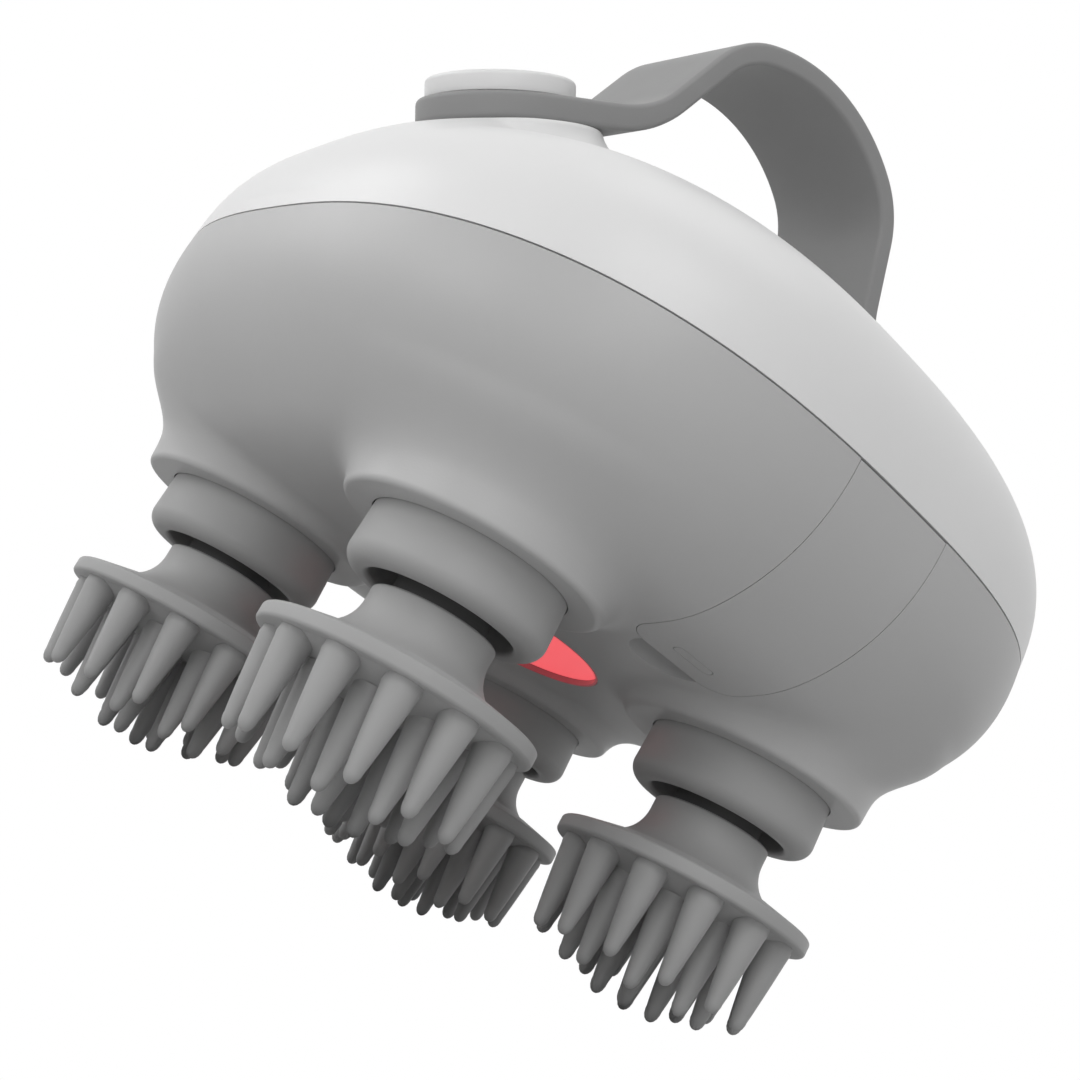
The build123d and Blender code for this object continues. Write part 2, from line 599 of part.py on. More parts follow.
with BuildPart() as gear_cover:
    with BuildSketch(Plane.XY.offset(COVER_Z)):
        add(plan_sketch(0, PLATE_HALF, PLATE_HALF, BASE_POWER))
        with Locations(*STATIONS.values()):
            Circle(JOURNAL_R + RUNNING, mode=Mode.SUBTRACT)
        with Locations(*PIN_SPOTS[:2]):
            Circle(PIN_R, mode=Mode.SUBTRACT)
        with Locations(PIN_SPOTS[2]):
            Circle(PINION_HUB_R + GEAR_PLAY, mode=Mode.SUBTRACT)
        with Locations(*POSTS):
            Circle(SCREW_R + RUNNING, mode=Mode.SUBTRACT)
    extrude(amount=PLATE_T)
gear_cover.part.label = "gear_cover"
export_step(gear_cover.part, "parts/gear_cover.step")

with BuildPart() as gear_pins:
    with BuildSketch(Plane.XY.offset(TRAY_Z)):
        with Locations(*PIN_SPOTS[:2]):
            Circle(PIN_R)
    extrude(amount=COVER_TOP_Z - TRAY_Z)
    with BuildSketch(Plane.XY.offset(TRAY_Z)):
        with Locations(PIN_SPOTS[2]):
            Circle(PIN_R)
    extrude(amount=BRACKET_Z + PLATE_T - TRAY_Z)
gear_pins.part.label = "gear_pins"
export_step(gear_pins.part, "parts/gear_pins.step")

for name, centre, phase in (("drive_gear_left", DRIVE_LEFT, LEFT_PHASE),
                            ("drive_gear_right", DRIVE_RIGHT, RIGHT_PHASE)):
    with BuildPart() as drive_gear:
        with BuildSketch(Plane.XY.offset(GEAR_Z)):
            with BuildLine():
                Polyline(*gear_outline(*centre, GEAR_MODULE, DRIVE_TEETH, phase), close=True)
            make_face()
            with Locations(centre):
                Circle(PIN_R + RUNNING, mode=Mode.SUBTRACT)
        extrude(amount=GEAR_FACE)
    drive_gear.part.label = name
    export_step(drive_gear.part, f"parts/{name}.step")

REDUCTION = (REDUCTION_X, REDUCTION_Y)
with BuildPart() as reduction_gear:
    with BuildSketch(Plane.XY.offset(GEAR_Z)):
        with BuildLine():
            Polyline(*gear_outline(*REDUCTION, GEAR_MODULE, PINION_TEETH, REDUCTION_PHASE), close=True)
        make_face()
    extrude(amount=GEAR_FACE)
    with BuildSketch(Plane.XY.offset(GEAR_Z + GEAR_FACE)):
        with Locations(REDUCTION):
            Circle(PINION_HUB_R)
    extrude(amount=FINE_Z - GEAR_Z - GEAR_FACE)
    with BuildSketch(Plane.XY.offset(FINE_Z)):
        with BuildLine():
            Polyline(*gear_outline(*REDUCTION, FINE_MODULE, REDUCTION_TEETH, 0.0), close=True)
        make_face()
    extrude(amount=FINE_FACE)
    with BuildSketch(Plane.XY.offset(GEAR_Z)):
        with Locations(REDUCTION):
            Circle(PIN_R + RUNNING)
    extrude(amount=FINE_Z + FINE_FACE - GEAR_Z, mode=Mode.SUBTRACT)
reduction_gear.part.label = "reduction_gear"
export_step(reduction_gear.part, "parts/reduction_gear.step")

# ---- motor ------------------------------------------------------------------------------
MOTOR = (MOTOR_X, MOTOR_Y)
MOTOR_FOOT_Z = BRACKET_Z + PLATE_T
with BuildPart() as motor_pinion:
    with BuildSketch(Plane.XY.offset(FINE_Z)):
        with BuildLine():
            Polyline(*gear_outline(*MOTOR, FINE_MODULE, MOTOR_TEETH, MOTOR_PHASE), close=True)
        make_face()
    extrude(amount=FINE_FACE)
    with BuildSketch(Plane.XY.offset(FINE_Z + FINE_FACE)):
        with Locations(MOTOR):
            Circle(MOTOR_SHAFT_R)
    extrude(amount=MOTOR_FOOT_Z + MOTOR_HUB_R - FINE_Z - FINE_FACE)
motor_pinion.part.label = "motor_pinion"
export_step(motor_pinion.part, "parts/motor_pinion.step")

with BuildPart() as motor:
    with BuildSketch(Plane.XY.offset(MOTOR_FOOT_Z)):
        with Locations(MOTOR):
            Circle(MOTOR_R)
    extrude(amount=MOTOR_LENGTH)
    with BuildSketch(Plane.XY.offset(MOTOR_FOOT_Z + MOTOR_LENGTH)):
        with Locations(MOTOR):
            Circle(MOTOR_HUB_R)
    extrude(amount=PLATE_T)
    fillet(motor.edges().filter_by(GeomType.CIRCLE).group_by(Axis.Z)[-2], radius=MOTOR_EDGE)
    with BuildSketch(Plane.XY.offset(MOTOR_FOOT_Z)):
        with Locations(MOTOR):
            Circle(MOTOR_SHAFT_R + RUNNING)
    extrude(amount=MOTOR_HUB_R + SLIP, mode=Mode.SUBTRACT)
motor.part.label = "motor"
export_step(motor.part, "parts/motor.step")

BRACKET_MID_Y = (BRACKET_LOW_Y + BRACKET_HIGH_Y) / 2
BRACKET_DEPTH = BRACKET_HIGH_Y - BRACKET_LOW_Y
LEG_SPANS = (2 * (BRACKET_HALF_X - BRACKET_LEG_INSET), BRACKET_DEPTH - 2 * BRACKET_LEG_INSET)
with BuildPart() as motor_bracket:
    with BuildSketch(Plane.XY.offset(BRACKET_Z)):
        with Locations((0, BRACKET_MID_Y)):
            RectangleRounded(2 * BRACKET_HALF_X, BRACKET_DEPTH, BRACKET_LEG_R)
        with Locations(MOTOR):
            Circle(MOTOR_HUB_R, mode=Mode.SUBTRACT)
        with Locations(REDUCTION):
            Circle(PIN_R, mode=Mode.SUBTRACT)
    extrude(amount=PLATE_T)
    with BuildSketch(Plane.XY.offset(COVER_TOP_Z)):
        with Locations((0, BRACKET_MID_Y)):
            with GridLocations(*LEG_SPANS, 2, 2):
                Circle(BRACKET_LEG_R)
    extrude(amount=BRACKET_Z - COVER_TOP_Z)
    with BuildSketch(Plane.XY.offset(BRACKET_Z + PLATE_T)):
        with Locations((0, BRACKET_MID_Y)):
            with GridLocations(*LEG_SPANS, 2, 2):
                Circle(SCREW_R)
    extrude(amount=-(PLATE_T + BRACKET_LEG_R), mode=Mode.SUBTRACT)
motor_bracket.part.label = "motor_bracket"
export_step(motor_bracket.part, "parts/motor_bracket.step")

with BuildPart() as bracket_screws:
    with BuildSketch(Plane.XY.offset(BRACKET_Z + PLATE_T)):
        with Locations((0, BRACKET_MID_Y)):
            with GridLocations(*LEG_SPANS, 2, 2):
                Circle(SCREW_HEAD_R)
    extrude(amount=SCREW_HEAD_H)
    with BuildSketch(Plane.XY.offset(BRACKET_Z + PLATE_T)):
        with Locations((0, BRACKET_MID_Y)):
            with GridLocations(*LEG_SPANS, 2, 2):
                Circle(SCREW_R)
    extrude(amount=-(PLATE_T + SCREW_R))
bracket_screws.part.label = "bracket_screws"
export_step(bracket_screws.part, "parts/bracket_screws.step")

with BuildPart() as gearbox_screws:
    with BuildSketch(Plane.XY.offset(COVER_TOP_Z)):
        with Locations(*POSTS):
            Circle(SCREW_HEAD_R)
    extrude(amount=SCREW_HEAD_H)
    with BuildSketch(Plane.XY.offset(COVER_TOP_Z)):
        with Locations(*POSTS):
            Circle(SCREW_R)
    extrude(amount=-(COVER_TOP_Z - TRAY_Z + SCREW_R))
gearbox_screws.part.label = "gearbox_screws"
export_step(gearbox_screws.part, "parts/gearbox_screws.step")

# ---- battery ----------------------------------------------------------------------------
BATTERY_Z = COVER_TOP_Z + CRADLE_FLOOR + BATTERY_R + RUNNING
CELL_PLANE = Plane((0, BATTERY_Y, BATTERY_Z), x_dir=(0, 1, 0), z_dir=(1, 0, 0))
with BuildPart() as battery:
    with BuildSketch(CELL_PLANE):
        Circle(BATTERY_R)
    extrude(amount=BATTERY_LENGTH / 2, both=True)
    fillet(battery.edges().filter_by(GeomType.CIRCLE), radius=CRADLE_WALL)
    with BuildSketch(CELL_PLANE.offset(BATTERY_LENGTH / 2)):
        Circle(BATTERY_TIP_R)
    extrude(amount=CRADLE_WALL)
battery.part.label = "battery"
export_step(battery.part, "parts/battery.step")

with BuildPart() as battery_cradle:
    with BuildSketch(Plane.XY.offset(COVER_TOP_Z)):
        with Locations((0, BATTERY_Y)):
            Rectangle(CRADLE_LENGTH, 2 * (BATTERY_R + RUNNING + CRADLE_WALL))
    extrude(amount=CRADLE_H)
    with BuildSketch(CELL_PLANE):
        Circle(BATTERY_R + RUNNING)
    extrude(amount=BATTERY_LENGTH, both=True, mode=Mode.SUBTRACT)
battery_cradle.part.label = "battery_cradle"
export_step(battery_cradle.part, "parts/battery_cradle.step")

# ---- button, switch and control board ------------------------------------------------------
with BuildPart() as power_button:
    with BuildSketch(FRONT.offset(BUTTON_SEAT)):
        Circle(BUTTON_R)
    extrude(amount=BUTTON_H)
    fillet(power_button.edges().filter_by(GeomType.CIRCLE).sort_by_distance(FRONT.offset(-BUTTON_R).origin)[-1],
           radius=BUTTON_EDGE)
    with BuildSketch(FRONT.offset(BUTTON_SEAT)):
        Circle(STEM_R)
    extrude(amount=-(BUTTON_SEAT + STEM_DEPTH))
power_button.part.label = "power_button"
export_step(power_button.part, "parts/power_button.step")

with BuildPart() as button_guide:
    with BuildSketch(FRONT.offset(STRAP_LIFT + STRAP_T)):
        Circle(GUIDE_R)
        Circle(STEM_R + RUNNING, mode=Mode.SUBTRACT)
    extrude(amount=-(STRAP_LIFT + STRAP_T + GUIDE_DEPTH))
button_guide.part.label = "button_guide"
export_step(button_guide.part, "parts/button_guide.step")

SWITCH_TOP = -(STEM_DEPTH + SWITCH_GAP + PLUNGER_H)
with BuildPart() as tact_switch:
    with BuildSketch(FRONT.offset(SWITCH_TOP)):
        Rectangle(SWITCH_SIZE, SWITCH_SIZE)
    extrude(amount=-SWITCH_H)
    with BuildSketch(FRONT.offset(SWITCH_TOP)):
        Circle(PLUNGER_R)
    extrude(amount=PLUNGER_H)
tact_switch.part.label = "tact_switch"
export_step(tact_switch.part, "parts/tact_switch.step")

BOARD_TOP = FRONT.offset(SWITCH_TOP - SWITCH_H)
with BuildPart() as control_board:
    with BuildSketch(BOARD_TOP):
        Rectangle(BOARD_LENGTH, BOARD_WIDTH)
        with Locations((0, BOARD_POST_Y), (0, -BOARD_POST_Y)):
            Circle(BOARD_SCREW_R + RUNNING, mode=Mode.SUBTRACT)
    extrude(amount=-BOARD_T)
control_board.part.label = "control_board"
export_step(control_board.part, "parts/control_board.step")

with BuildPart() as board_screws:
    with BuildSketch(BOARD_TOP.offset(-BOARD_T)):
        with Locations((0, BOARD_POST_Y), (0, -BOARD_POST_Y)):
            Circle(BOARD_HEAD_R)
    extrude(amount=-SCREW_HEAD_H)
    with BuildSketch(BOARD_TOP.offset(-BOARD_T)):
        with Locations((0, BOARD_POST_Y), (0, -BOARD_POST_Y)):
            Circle(BOARD_SCREW_R)
    extrude(amount=BOARD_T + BOARD_POST_ROOT - SLIP)
board_screws.part.label = "board_screws"
export_step(board_screws.part, "parts/board_screws.step")

# ---- strap and its rear stud ------------------------------------------------------------------
SHOULDER_X = (STRAP_TOP_R - STRAP_SHOULDER_R) * sin(STRAP_SHOULDER)
SHOULDER_Z = STRAP_TOP_Z - STRAP_TOP_R + (STRAP_TOP_R - STRAP_SHOULDER_R) * cos(STRAP_SHOULDER)


def ring_point(side, height):
    """Middle of a strap's ring at a height above its pedestal; side is -1 or 1."""
    return (side * (NECK_X + height * sin(NECK_TILT)), NECK_TOP_Z + height * cos(NECK_TILT))


def shoulder_point(side, depth, slope):
    """Point at a depth inside the hump's shoulder, where the shoulder has this slope."""
    reach = STRAP_SHOULDER_R - depth
    return (side * (SHOULDER_X + reach * sin(slope)), SHOULDER_Z + reach * cos(slope))


def bend_corner(side, height, depth):
    """Where the straight lines of a ring and a leg would meet."""
    end_x, end_z = ring_point(1, height)
    leg_x, leg_z = shoulder_point(1, depth, STRAP_LEG)
    reach = end_x * tan(NECK_TILT) - leg_x * tan(STRAP_LEG) + end_z - leg_z
    corner_x = reach / (tan(NECK_TILT) - tan(STRAP_LEG))
    return (side * corner_x, end_z + (end_x - corner_x) * tan(NECK_TILT))


with BuildPart() as hand_strap:
    with BuildSketch(Plane.XZ):
        with BuildLine():
            for height, depth, bend_r in ((STRAP_LIFT + STRAP_RING_T, 0, STRAP_BEND_R - STRAP_T / 2),
                                          (STRAP_LIFT, STRAP_T, STRAP_BEND_R + STRAP_T / 2)):
                for side in (-1, 1):
                    FilletPolyline(ring_point(side, height), bend_corner(side, height, depth),
                                   shoulder_point(side, depth, STRAP_LEG), radius=bend_r)
                    ThreePointArc(shoulder_point(side, depth, STRAP_LEG),
                                  shoulder_point(side, depth, (STRAP_LEG + STRAP_SHOULDER) / 2),
                                  shoulder_point(side, depth, STRAP_SHOULDER))
                ThreePointArc(shoulder_point(-1, depth, STRAP_SHOULDER), (0, STRAP_TOP_Z - depth),
                              shoulder_point(1, depth, STRAP_SHOULDER))
            for side in (-1, 1):
                Line(ring_point(side, STRAP_LIFT), ring_point(side, STRAP_LIFT + STRAP_RING_T))
        make_face()
    extrude(amount=STRAP_W / 2, both=True)
    for neck in (FRONT, REAR):
        with BuildSketch(neck.offset(STRAP_LIFT)):
            Circle(STRAP_W / 2)
        extrude(amount=STRAP_RING_T)
        with BuildSketch(neck.offset(STRAP_LIFT - SLIP)):
            Circle(GUIDE_R + SLIP)
        extrude(amount=STRAP_RING_T + 2 * SLIP, mode=Mode.SUBTRACT)
        with BuildSketch(neck.offset(STRAP_LIFT + STRAP_T)):
            Circle(BUTTON_R + STRAP_SEAT_CLEAR)
        extrude(amount=STRAP_RING_T, mode=Mode.SUBTRACT)
hand_strap.part.label = "hand_strap"
export_step(hand_strap.part, "parts/hand_strap.step")

with BuildPart() as strap_stud:
    with BuildSketch(REAR.offset(STRAP_LIFT + STRAP_T)):
        Circle(BUTTON_R)
    extrude(amount=BUTTON_SEAT + BUTTON_H - STRAP_LIFT - STRAP_T)
    fillet(strap_stud.edges().filter_by(GeomType.CIRCLE).sort_by_distance(REAR.offset(-BUTTON_R).origin)[-1],
           radius=BUTTON_EDGE)
    with BuildSketch(REAR.offset(STRAP_LIFT + STRAP_T)):
        Circle(GUIDE_R)
    extrude(amount=-(STRAP_LIFT + STRAP_T + STUD_NUT_DEPTH))
strap_stud.part.label = "strap_stud"
export_step(strap_stud.part, "parts/strap_stud.step")

with BuildPart() as stud_nut:
    with BuildSketch(REAR.offset(-STUD_NUT_DEPTH)):
        Circle(STUD_NUT_R)
        Circle(GUIDE_R, mode=Mode.SUBTRACT)
    extrude(amount=STUD_NUT_T)
stud_nut.part.label = "stud_nut"
export_step(stud_nut.part, "parts/stud_nut.step")

# ---- the four head stations ---------------------------------------------------------------------
for station, (x, y) in STATIONS.items():
    upright = station_plane(x, y)
    axis = Axis((x, y, 0), (0, 0, 1))
    drive = DRIVE_LEFT if x < 0 else DRIVE_RIGHT
    drive_phase = LEFT_PHASE if x < 0 else RIGHT_PHASE
    head_phase = mesh_phase(drive, DRIVE_TEETH, drive_phase, (x, y), HEAD_TEETH)

    with BuildPart() as collar:
        with BuildSketch(upright):
            with BuildLine():
                Polyline((COLLAR_MOUTH_R, COLLAR_Z), (COLLAR_R + COLLAR_FLARE - COLLAR_ROUND, COLLAR_Z))
                RadiusArc((COLLAR_R + COLLAR_FLARE - COLLAR_ROUND, COLLAR_Z),
                          (COLLAR_R + COLLAR_FLARE, COLLAR_Z + COLLAR_ROUND), -COLLAR_ROUND)
                Polyline((COLLAR_R + COLLAR_FLARE, COLLAR_Z + COLLAR_ROUND), (COLLAR_R, BOSS_Z),
                         (COLLAR_R, BOSS_ROOM_Z), (COLLAR_FLANGE_R, BOSS_ROOM_Z), (COLLAR_FLANGE_R, BUSH_Z),
                         (SEAL_R, BUSH_Z), (SEAL_R, BOSS_ROOM_Z), (COLLAR_MOUTH_R, BOSS_ROOM_Z - SLIP),
                         (COLLAR_MOUTH_R, COLLAR_Z))
            make_face()
        revolve(axis=axis)
    collar.part.label = f"collar_{station}"
    export_step(collar.part, f"parts/collar_{station}.step")

    with BuildPart() as shaft_seal:
        with BuildSketch(Plane.XY.offset(BOSS_ROOM_Z)):
            with Locations((x, y)):
                Circle(SEAL_R)
                Circle(POST_SHAFT_R + SEAL_CLEAR, mode=Mode.SUBTRACT)
        extrude(amount=COLLAR_FLANGE_T)
    shaft_seal.part.label = f"shaft_seal_{station}"
    export_step(shaft_seal.part, f"parts/shaft_seal_{station}.step")

    with BuildPart() as shaft_bush:
        with BuildSketch(Plane.XY.offset(BUSH_Z)):
            with Locations((x, y)):
                Circle(COLLAR_FLANGE_R)
        extrude(amount=BUSH_T)
        with BuildSketch(Plane.XY.offset(BUSH_Z + BUSH_T)):
            with Locations((x, y)):
                Circle(BUSH_HUB_R)
        extrude(amount=TRAY_Z - BUSH_Z - BUSH_T)
        with BuildSketch(Plane.XY.offset(BUSH_Z)):
            with Locations((x, y)):
                Circle(SHAFT_R + RUNNING)
        extrude(amount=TRAY_Z - BUSH_Z, mode=Mode.SUBTRACT)
    shaft_bush.part.label = f"shaft_bush_{station}"
    export_step(shaft_bush.part, f"parts/shaft_bush_{station}.step")

    with BuildPart() as drive_shaft:
        with BuildSketch(upright):
            with BuildLine():
                Polyline((0, SHAFT_FOOT_Z), (POST_SHAFT_R, SHAFT_FOOT_Z), (POST_SHAFT_R, BUSH_Z - SHOULDER_GAP),
                         (SHAFT_R, BUSH_Z - SHOULDER_GAP), (SHAFT_R, GEAR_Z + GEAR_FACE),
                         (JOURNAL_R, GEAR_Z + GEAR_FACE), (JOURNAL_R, COVER_TOP_Z), (0, COVER_TOP_Z), close=True)
            make_face()
        revolve(axis=axis)
    drive_shaft.part.label = f"drive_shaft_{station}"
    export_step(drive_shaft.part, f"parts/drive_shaft_{station}.step")

    with BuildPart() as head_gear:
        with BuildSketch(Plane.XY.offset(GEAR_Z)):
            with BuildLine():
                Polyline(*gear_outline(x, y, GEAR_MODULE, HEAD_TEETH, head_phase), close=True)
            make_face()
            with Locations((x, y)):
                Circle(SHAFT_R, mode=Mode.SUBTRACT)
        extrude(amount=GEAR_FACE)
    head_gear.part.label = f"head_gear_{station}"
    export_step(head_gear.part, f"parts/head_gear_{station}.step")

    with BuildPart() as head_core:
        with BuildSketch(Plane.XY.offset(CORE_FLOOR_Z)):
            with Locations((x, y)):
                Circle(CORE_R)
        extrude(amount=NECK_Z - CORE_FLOOR_Z)
        with BuildSketch(Plane.XY.offset(SHAFT_FOOT_Z)):
            with Locations((x, y)):
                Circle(POST_SHAFT_R)
        extrude(amount=NECK_Z - SHAFT_FOOT_Z, mode=Mode.SUBTRACT)
    head_core.part.label = f"head_core_{station}"
    export_step(head_core.part, f"parts/head_core_{station}.step")

    with BuildPart() as massage_head:
        with BuildSketch(upright):
            with BuildLine():
                Line((0, CROWN_UNDER_Z), (0, CORE_FLOOR_Z))
                Polyline((0, CORE_FLOOR_Z), (CORE_R, CORE_FLOOR_Z), (CORE_R, NECK_Z), (NECK_R, NECK_Z))
                RadiusArc((NECK_R, NECK_Z), (PLATE_NECK_R, PLATE_NECK_Z), -PLATE_BEND_R)
                Line((PLATE_NECK_R, PLATE_NECK_Z), (RIM_R - (RIM_TOP_Z - RIM_MID_Z), RIM_TOP_Z))
                ThreePointArc((RIM_R - (RIM_TOP_Z - RIM_MID_Z), RIM_TOP_Z), (RIM_R, RIM_MID_Z),
                              (RIM_R - (RIM_MID_Z - RIM_LOW_Z) / 2, RIM_LOW_Z))
                Line((RIM_R - (RIM_MID_Z - RIM_LOW_Z) / 2, RIM_LOW_Z), (UNDERSIDE_R, UNDERSIDE_Z))
                RadiusArc((UNDERSIDE_R, UNDERSIDE_Z), (0, CROWN_UNDER_Z),
                          crown_radius(UNDERSIDE_R, UNDERSIDE_Z - CROWN_UNDER_Z))
            make_face()
        revolve(axis=axis)
        for count, ring_r, turn, tip_z in NODULE_RINGS:
            root_z = UNDERSIDE_Z - (UNDERSIDE_Z - CROWN_UNDER_Z) * (1 - (ring_r / UNDERSIDE_R) ** 2)
            with BuildPart(mode=Mode.PRIVATE) as nodule:
                with BuildSketch(Plane.XZ):
                    with BuildLine():
                        Polyline((0, root_z + NODULE_SINK), (NODULE_ROOT_R, root_z + NODULE_SINK),
                                 (NODULE_TIP_R, tip_z + NODULE_TIP_R - NODULE_FLAT_R))
                        RadiusArc((NODULE_TIP_R, tip_z + NODULE_TIP_R - NODULE_FLAT_R),
                                  (NODULE_FLAT_R, tip_z), NODULE_TIP_R)
                        Polyline((NODULE_FLAT_R, tip_z), (0, tip_z), (0, root_z + NODULE_SINK))
                    make_face()
                revolve(axis=Axis.Z)
            with Locations((x, y)):
                with PolarLocations(ring_r, count, start_angle=turn):
                    add(nodule.part)
    massage_head.part.label = f"massage_head_{station}"
    export_step(massage_head.part, f"parts/massage_head_{station}.step")
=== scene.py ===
"""Electric scalp massager: the visible pieces, finishes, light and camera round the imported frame.

Sizes are in millimetres in the dataclasses and become metres where a mesh is made.
+Z is up, -X is the power button's side and -Y is the charging door's side.
"""

import logging
import math
from dataclasses import dataclass
from enum import Enum
from typing import Callable, Sequence

import bmesh
import bpy
import numpy as np
from mathutils import Matrix, Vector

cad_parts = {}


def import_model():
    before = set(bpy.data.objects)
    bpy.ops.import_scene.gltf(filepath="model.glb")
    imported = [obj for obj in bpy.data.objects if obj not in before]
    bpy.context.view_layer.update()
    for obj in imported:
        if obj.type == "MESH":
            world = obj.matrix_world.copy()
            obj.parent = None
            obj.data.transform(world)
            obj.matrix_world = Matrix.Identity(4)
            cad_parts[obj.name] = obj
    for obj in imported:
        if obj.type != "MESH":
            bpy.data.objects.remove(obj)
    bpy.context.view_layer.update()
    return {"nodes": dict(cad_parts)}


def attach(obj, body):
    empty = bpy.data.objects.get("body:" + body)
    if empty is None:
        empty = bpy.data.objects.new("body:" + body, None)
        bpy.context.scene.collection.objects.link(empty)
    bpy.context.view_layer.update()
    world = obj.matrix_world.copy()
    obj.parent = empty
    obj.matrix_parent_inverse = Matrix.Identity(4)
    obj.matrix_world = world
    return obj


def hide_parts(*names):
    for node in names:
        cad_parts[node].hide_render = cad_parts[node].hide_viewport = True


LOG = logging.getLogger("scalp_massager")
METRES = 0.001
Array = np.ndarray
Piece = bpy.types.Object
Tree = bpy.types.NodeTree
Node = bpy.types.Node
Socket = bpy.types.NodeSocket
Material = bpy.types.Material
Point = tuple[float, float]
Triple = tuple[float, float, float]
Field = Callable[[Array, Array, Array], Array]


# ---- node helpers --------------------------------------------------------------------


def fill(tree: Tree, node: Node, inputs: dict) -> None:
    """Fills a node's inputs.

    Args:
        tree: the tree that holds the node.
        node: the node.
        inputs: each input's name or index, with its value or with the output that feeds it. A node
            stands for its first output.
    """
    for key, value in inputs.items():
        if isinstance(value, Node):
            value = value.outputs[0]
        if isinstance(value, Socket):
            tree.links.new(value, node.inputs[key])
        else:
            node.inputs[key].default_value = value


def add_node(tree: Tree, kind: str, inputs: dict, operation: str = "") -> Node:
    """Adds a node of a kind, with its inputs filled and its operation, where it has one."""
    node = tree.nodes.new(kind)
    if operation:
        node.operation = operation
    fill(tree, node, inputs)
    return node


def noise(tree: Tree, place: Socket | Node, size_mm: float, detail: float) -> Node:
    """A noise of the given grain size, from 0 to 1."""
    return add_node(tree, "ShaderNodeTexNoise",
                    {"Vector": place, "Scale": 1.0 / (size_mm * METRES), "Detail": detail})


def varied(tree: Tree, source: Socket | Node, low: float, high: float) -> Node:
    """A value that runs from low to high as its source runs from 0 to 1."""
    return add_node(tree, "ShaderNodeMapRange", {"Value": source, "To Min": low, "To Max": high})


# ---- finishes ------------------------------------------------------------------------

SHEEN_ROUGHNESS = 0.45
BUMP_STRENGTH = 0.35
CLOUD_MM = 18.0
HANDLING_MM = 6.0
# grain of the faint unevenness in the lens's painted glow
PAINTED_GLOW_MM = 7.0
TURNING_STRETCH = (1.0, 1.0, 12.0)


class Grain(Enum):
    """How the surface of a finish feels under a fingertip."""

    MOULDED = "fine spark-eroded texture of a moulded shell"
    SILICONE = "soft matt skin of moulded silicone"
    POLISHED = "smooth, with a trace of flow"
    METAL = "turned or rolled metal"


@dataclass(frozen=True)
class Finish:
    """One finish: its colour, how it shines and how fine its grain is.

    Colours are linear. Grain sizes are in millimetres.
    """

    name: str
    colour: Triple
    roughness: float
    grain: Grain = Grain.MOULDED
    grain_mm: float = 0.25
    grain_depth: float = 0.02
    mottle: float = 0.03
    specular: float = 0.5
    sheen: float = 0.0
    coat: float = 0.0
    metallic: float = 0.0

    def make(self) -> Material:
        """Builds the node material.

        Returns:
            A new material that reads Object coordinates only.
        """
        material = bpy.data.materials.new(self.name)
        material.use_nodes = True
        tree = material.node_tree
        place = tree.nodes.new("ShaderNodeTexCoord").outputs["Object"]
        fill(tree, tree.nodes["Principled BSDF"], {
            "Metallic": self.metallic, "Specular IOR Level": self.specular, "Coat Weight": self.coat,
            "Sheen Weight": self.sheen, "Sheen Roughness": SHEEN_ROUGHNESS,
            "Base Color": self._tint(tree, place), "Roughness": self._shine(tree, place),
            "Normal": self._relief(tree, place)})
        return material

    def _tint(self, tree: Tree, place: Socket) -> Node:
        """A faintly clouded version of the colour."""
        ramp = add_node(tree, "ShaderNodeValToRGB", {"Fac": noise(tree, place, CLOUD_MM, 3.0)})
        for stop, position, side in zip(ramp.color_ramp.elements, (0.3, 0.7), (-1, 1)):
            stop.position = position
            stop.color = (*[min(1, c * (1 + side * self.mottle)) for c in self.colour], 1)
        return ramp

    def _shine(self, tree: Tree, place: Socket) -> Node:
        """A roughness that varies a little with handling."""
        return varied(tree, noise(tree, place, HANDLING_MM, 4.0), self.roughness * 0.92,
                      min(1.0, self.roughness * 1.1))

    def _relief(self, tree: Tree, place: Socket | Node) -> Node:
        """The fine grain as a bump."""
        if self.grain is Grain.METAL:
            place = add_node(tree, "ShaderNodeMapping", {"Vector": place, "Scale": TURNING_STRETCH})
        if self.grain is Grain.MOULDED:
            height = add_node(tree, "ShaderNodeTexVoronoi",
                              {"Vector": place, "Scale": 1.0 / (self.grain_mm * METRES)})
        else:
            height = noise(tree, place, self.grain_mm, 4.0)
        return add_node(tree, "ShaderNodeBump", {"Strength": BUMP_STRENGTH, "Height": height,
                                                 "Distance": self.grain_depth * METRES})


@dataclass(frozen=True)
class PaintedGlow(Finish):
    """The lit lens: a clear red moulding whose glow is painted on as emission, in place of the lamps
    behind it shining through.
    """

    glow: float = 0.8

    def make(self) -> Material:
        """Builds the material with a faintly uneven painted glow, where the lamps behind the lens would
        shine through.

        Returns:
            A new material.
        """
        material = super().make()
        tree = material.node_tree
        place = tree.nodes.new("ShaderNodeTexCoord").outputs["Object"]
        fill(tree, tree.nodes["Principled BSDF"], {
            "Emission Color": (*self.colour, 1),
            "Emission Strength": varied(tree, noise(tree, place, PAINTED_GLOW_MM, 2.0), self.glow * 0.85,
                                        self.glow * 1.1)})
        return material


def grey(level: float) -> Triple:
    """A neutral colour."""
    return level, level, level


WHITE_SHELL = Finish("white_shell", grey(0.80), 0.38, mottle=0.008, grain_depth=0.006)
GREY_SHELL = Finish("grey_shell", grey(0.485), 0.42, mottle=0.012, grain_depth=0.008)
BUTTON_WHITE = Finish("button_white", grey(0.80), 0.40, mottle=0.01, grain_depth=0.006)
STRAP_SILICONE = Finish("strap_silicone", grey(0.275), 0.62, Grain.SILICONE, 0.5, 0.012, 0.02, sheen=0.15)
HEAD_SILICONE = Finish("head_silicone", grey(0.395), 0.55, Grain.SILICONE, 0.5, 0.012, 0.02, sheen=0.15)
COLLAR_SILICONE = Finish("collar_silicone", grey(0.385), 0.55, Grain.SILICONE, 0.5, 0.012, 0.02,
                         sheen=0.12)
SEAM_RUBBER = Finish("seam_rubber", grey(0.045), 0.8, Grain.SILICONE, 0.3, 0.01, 0.03)
SHAFT_PLASTIC = Finish("shaft_plastic", grey(0.10), 0.5, Grain.POLISHED, 0.6, 0.008, 0.04)
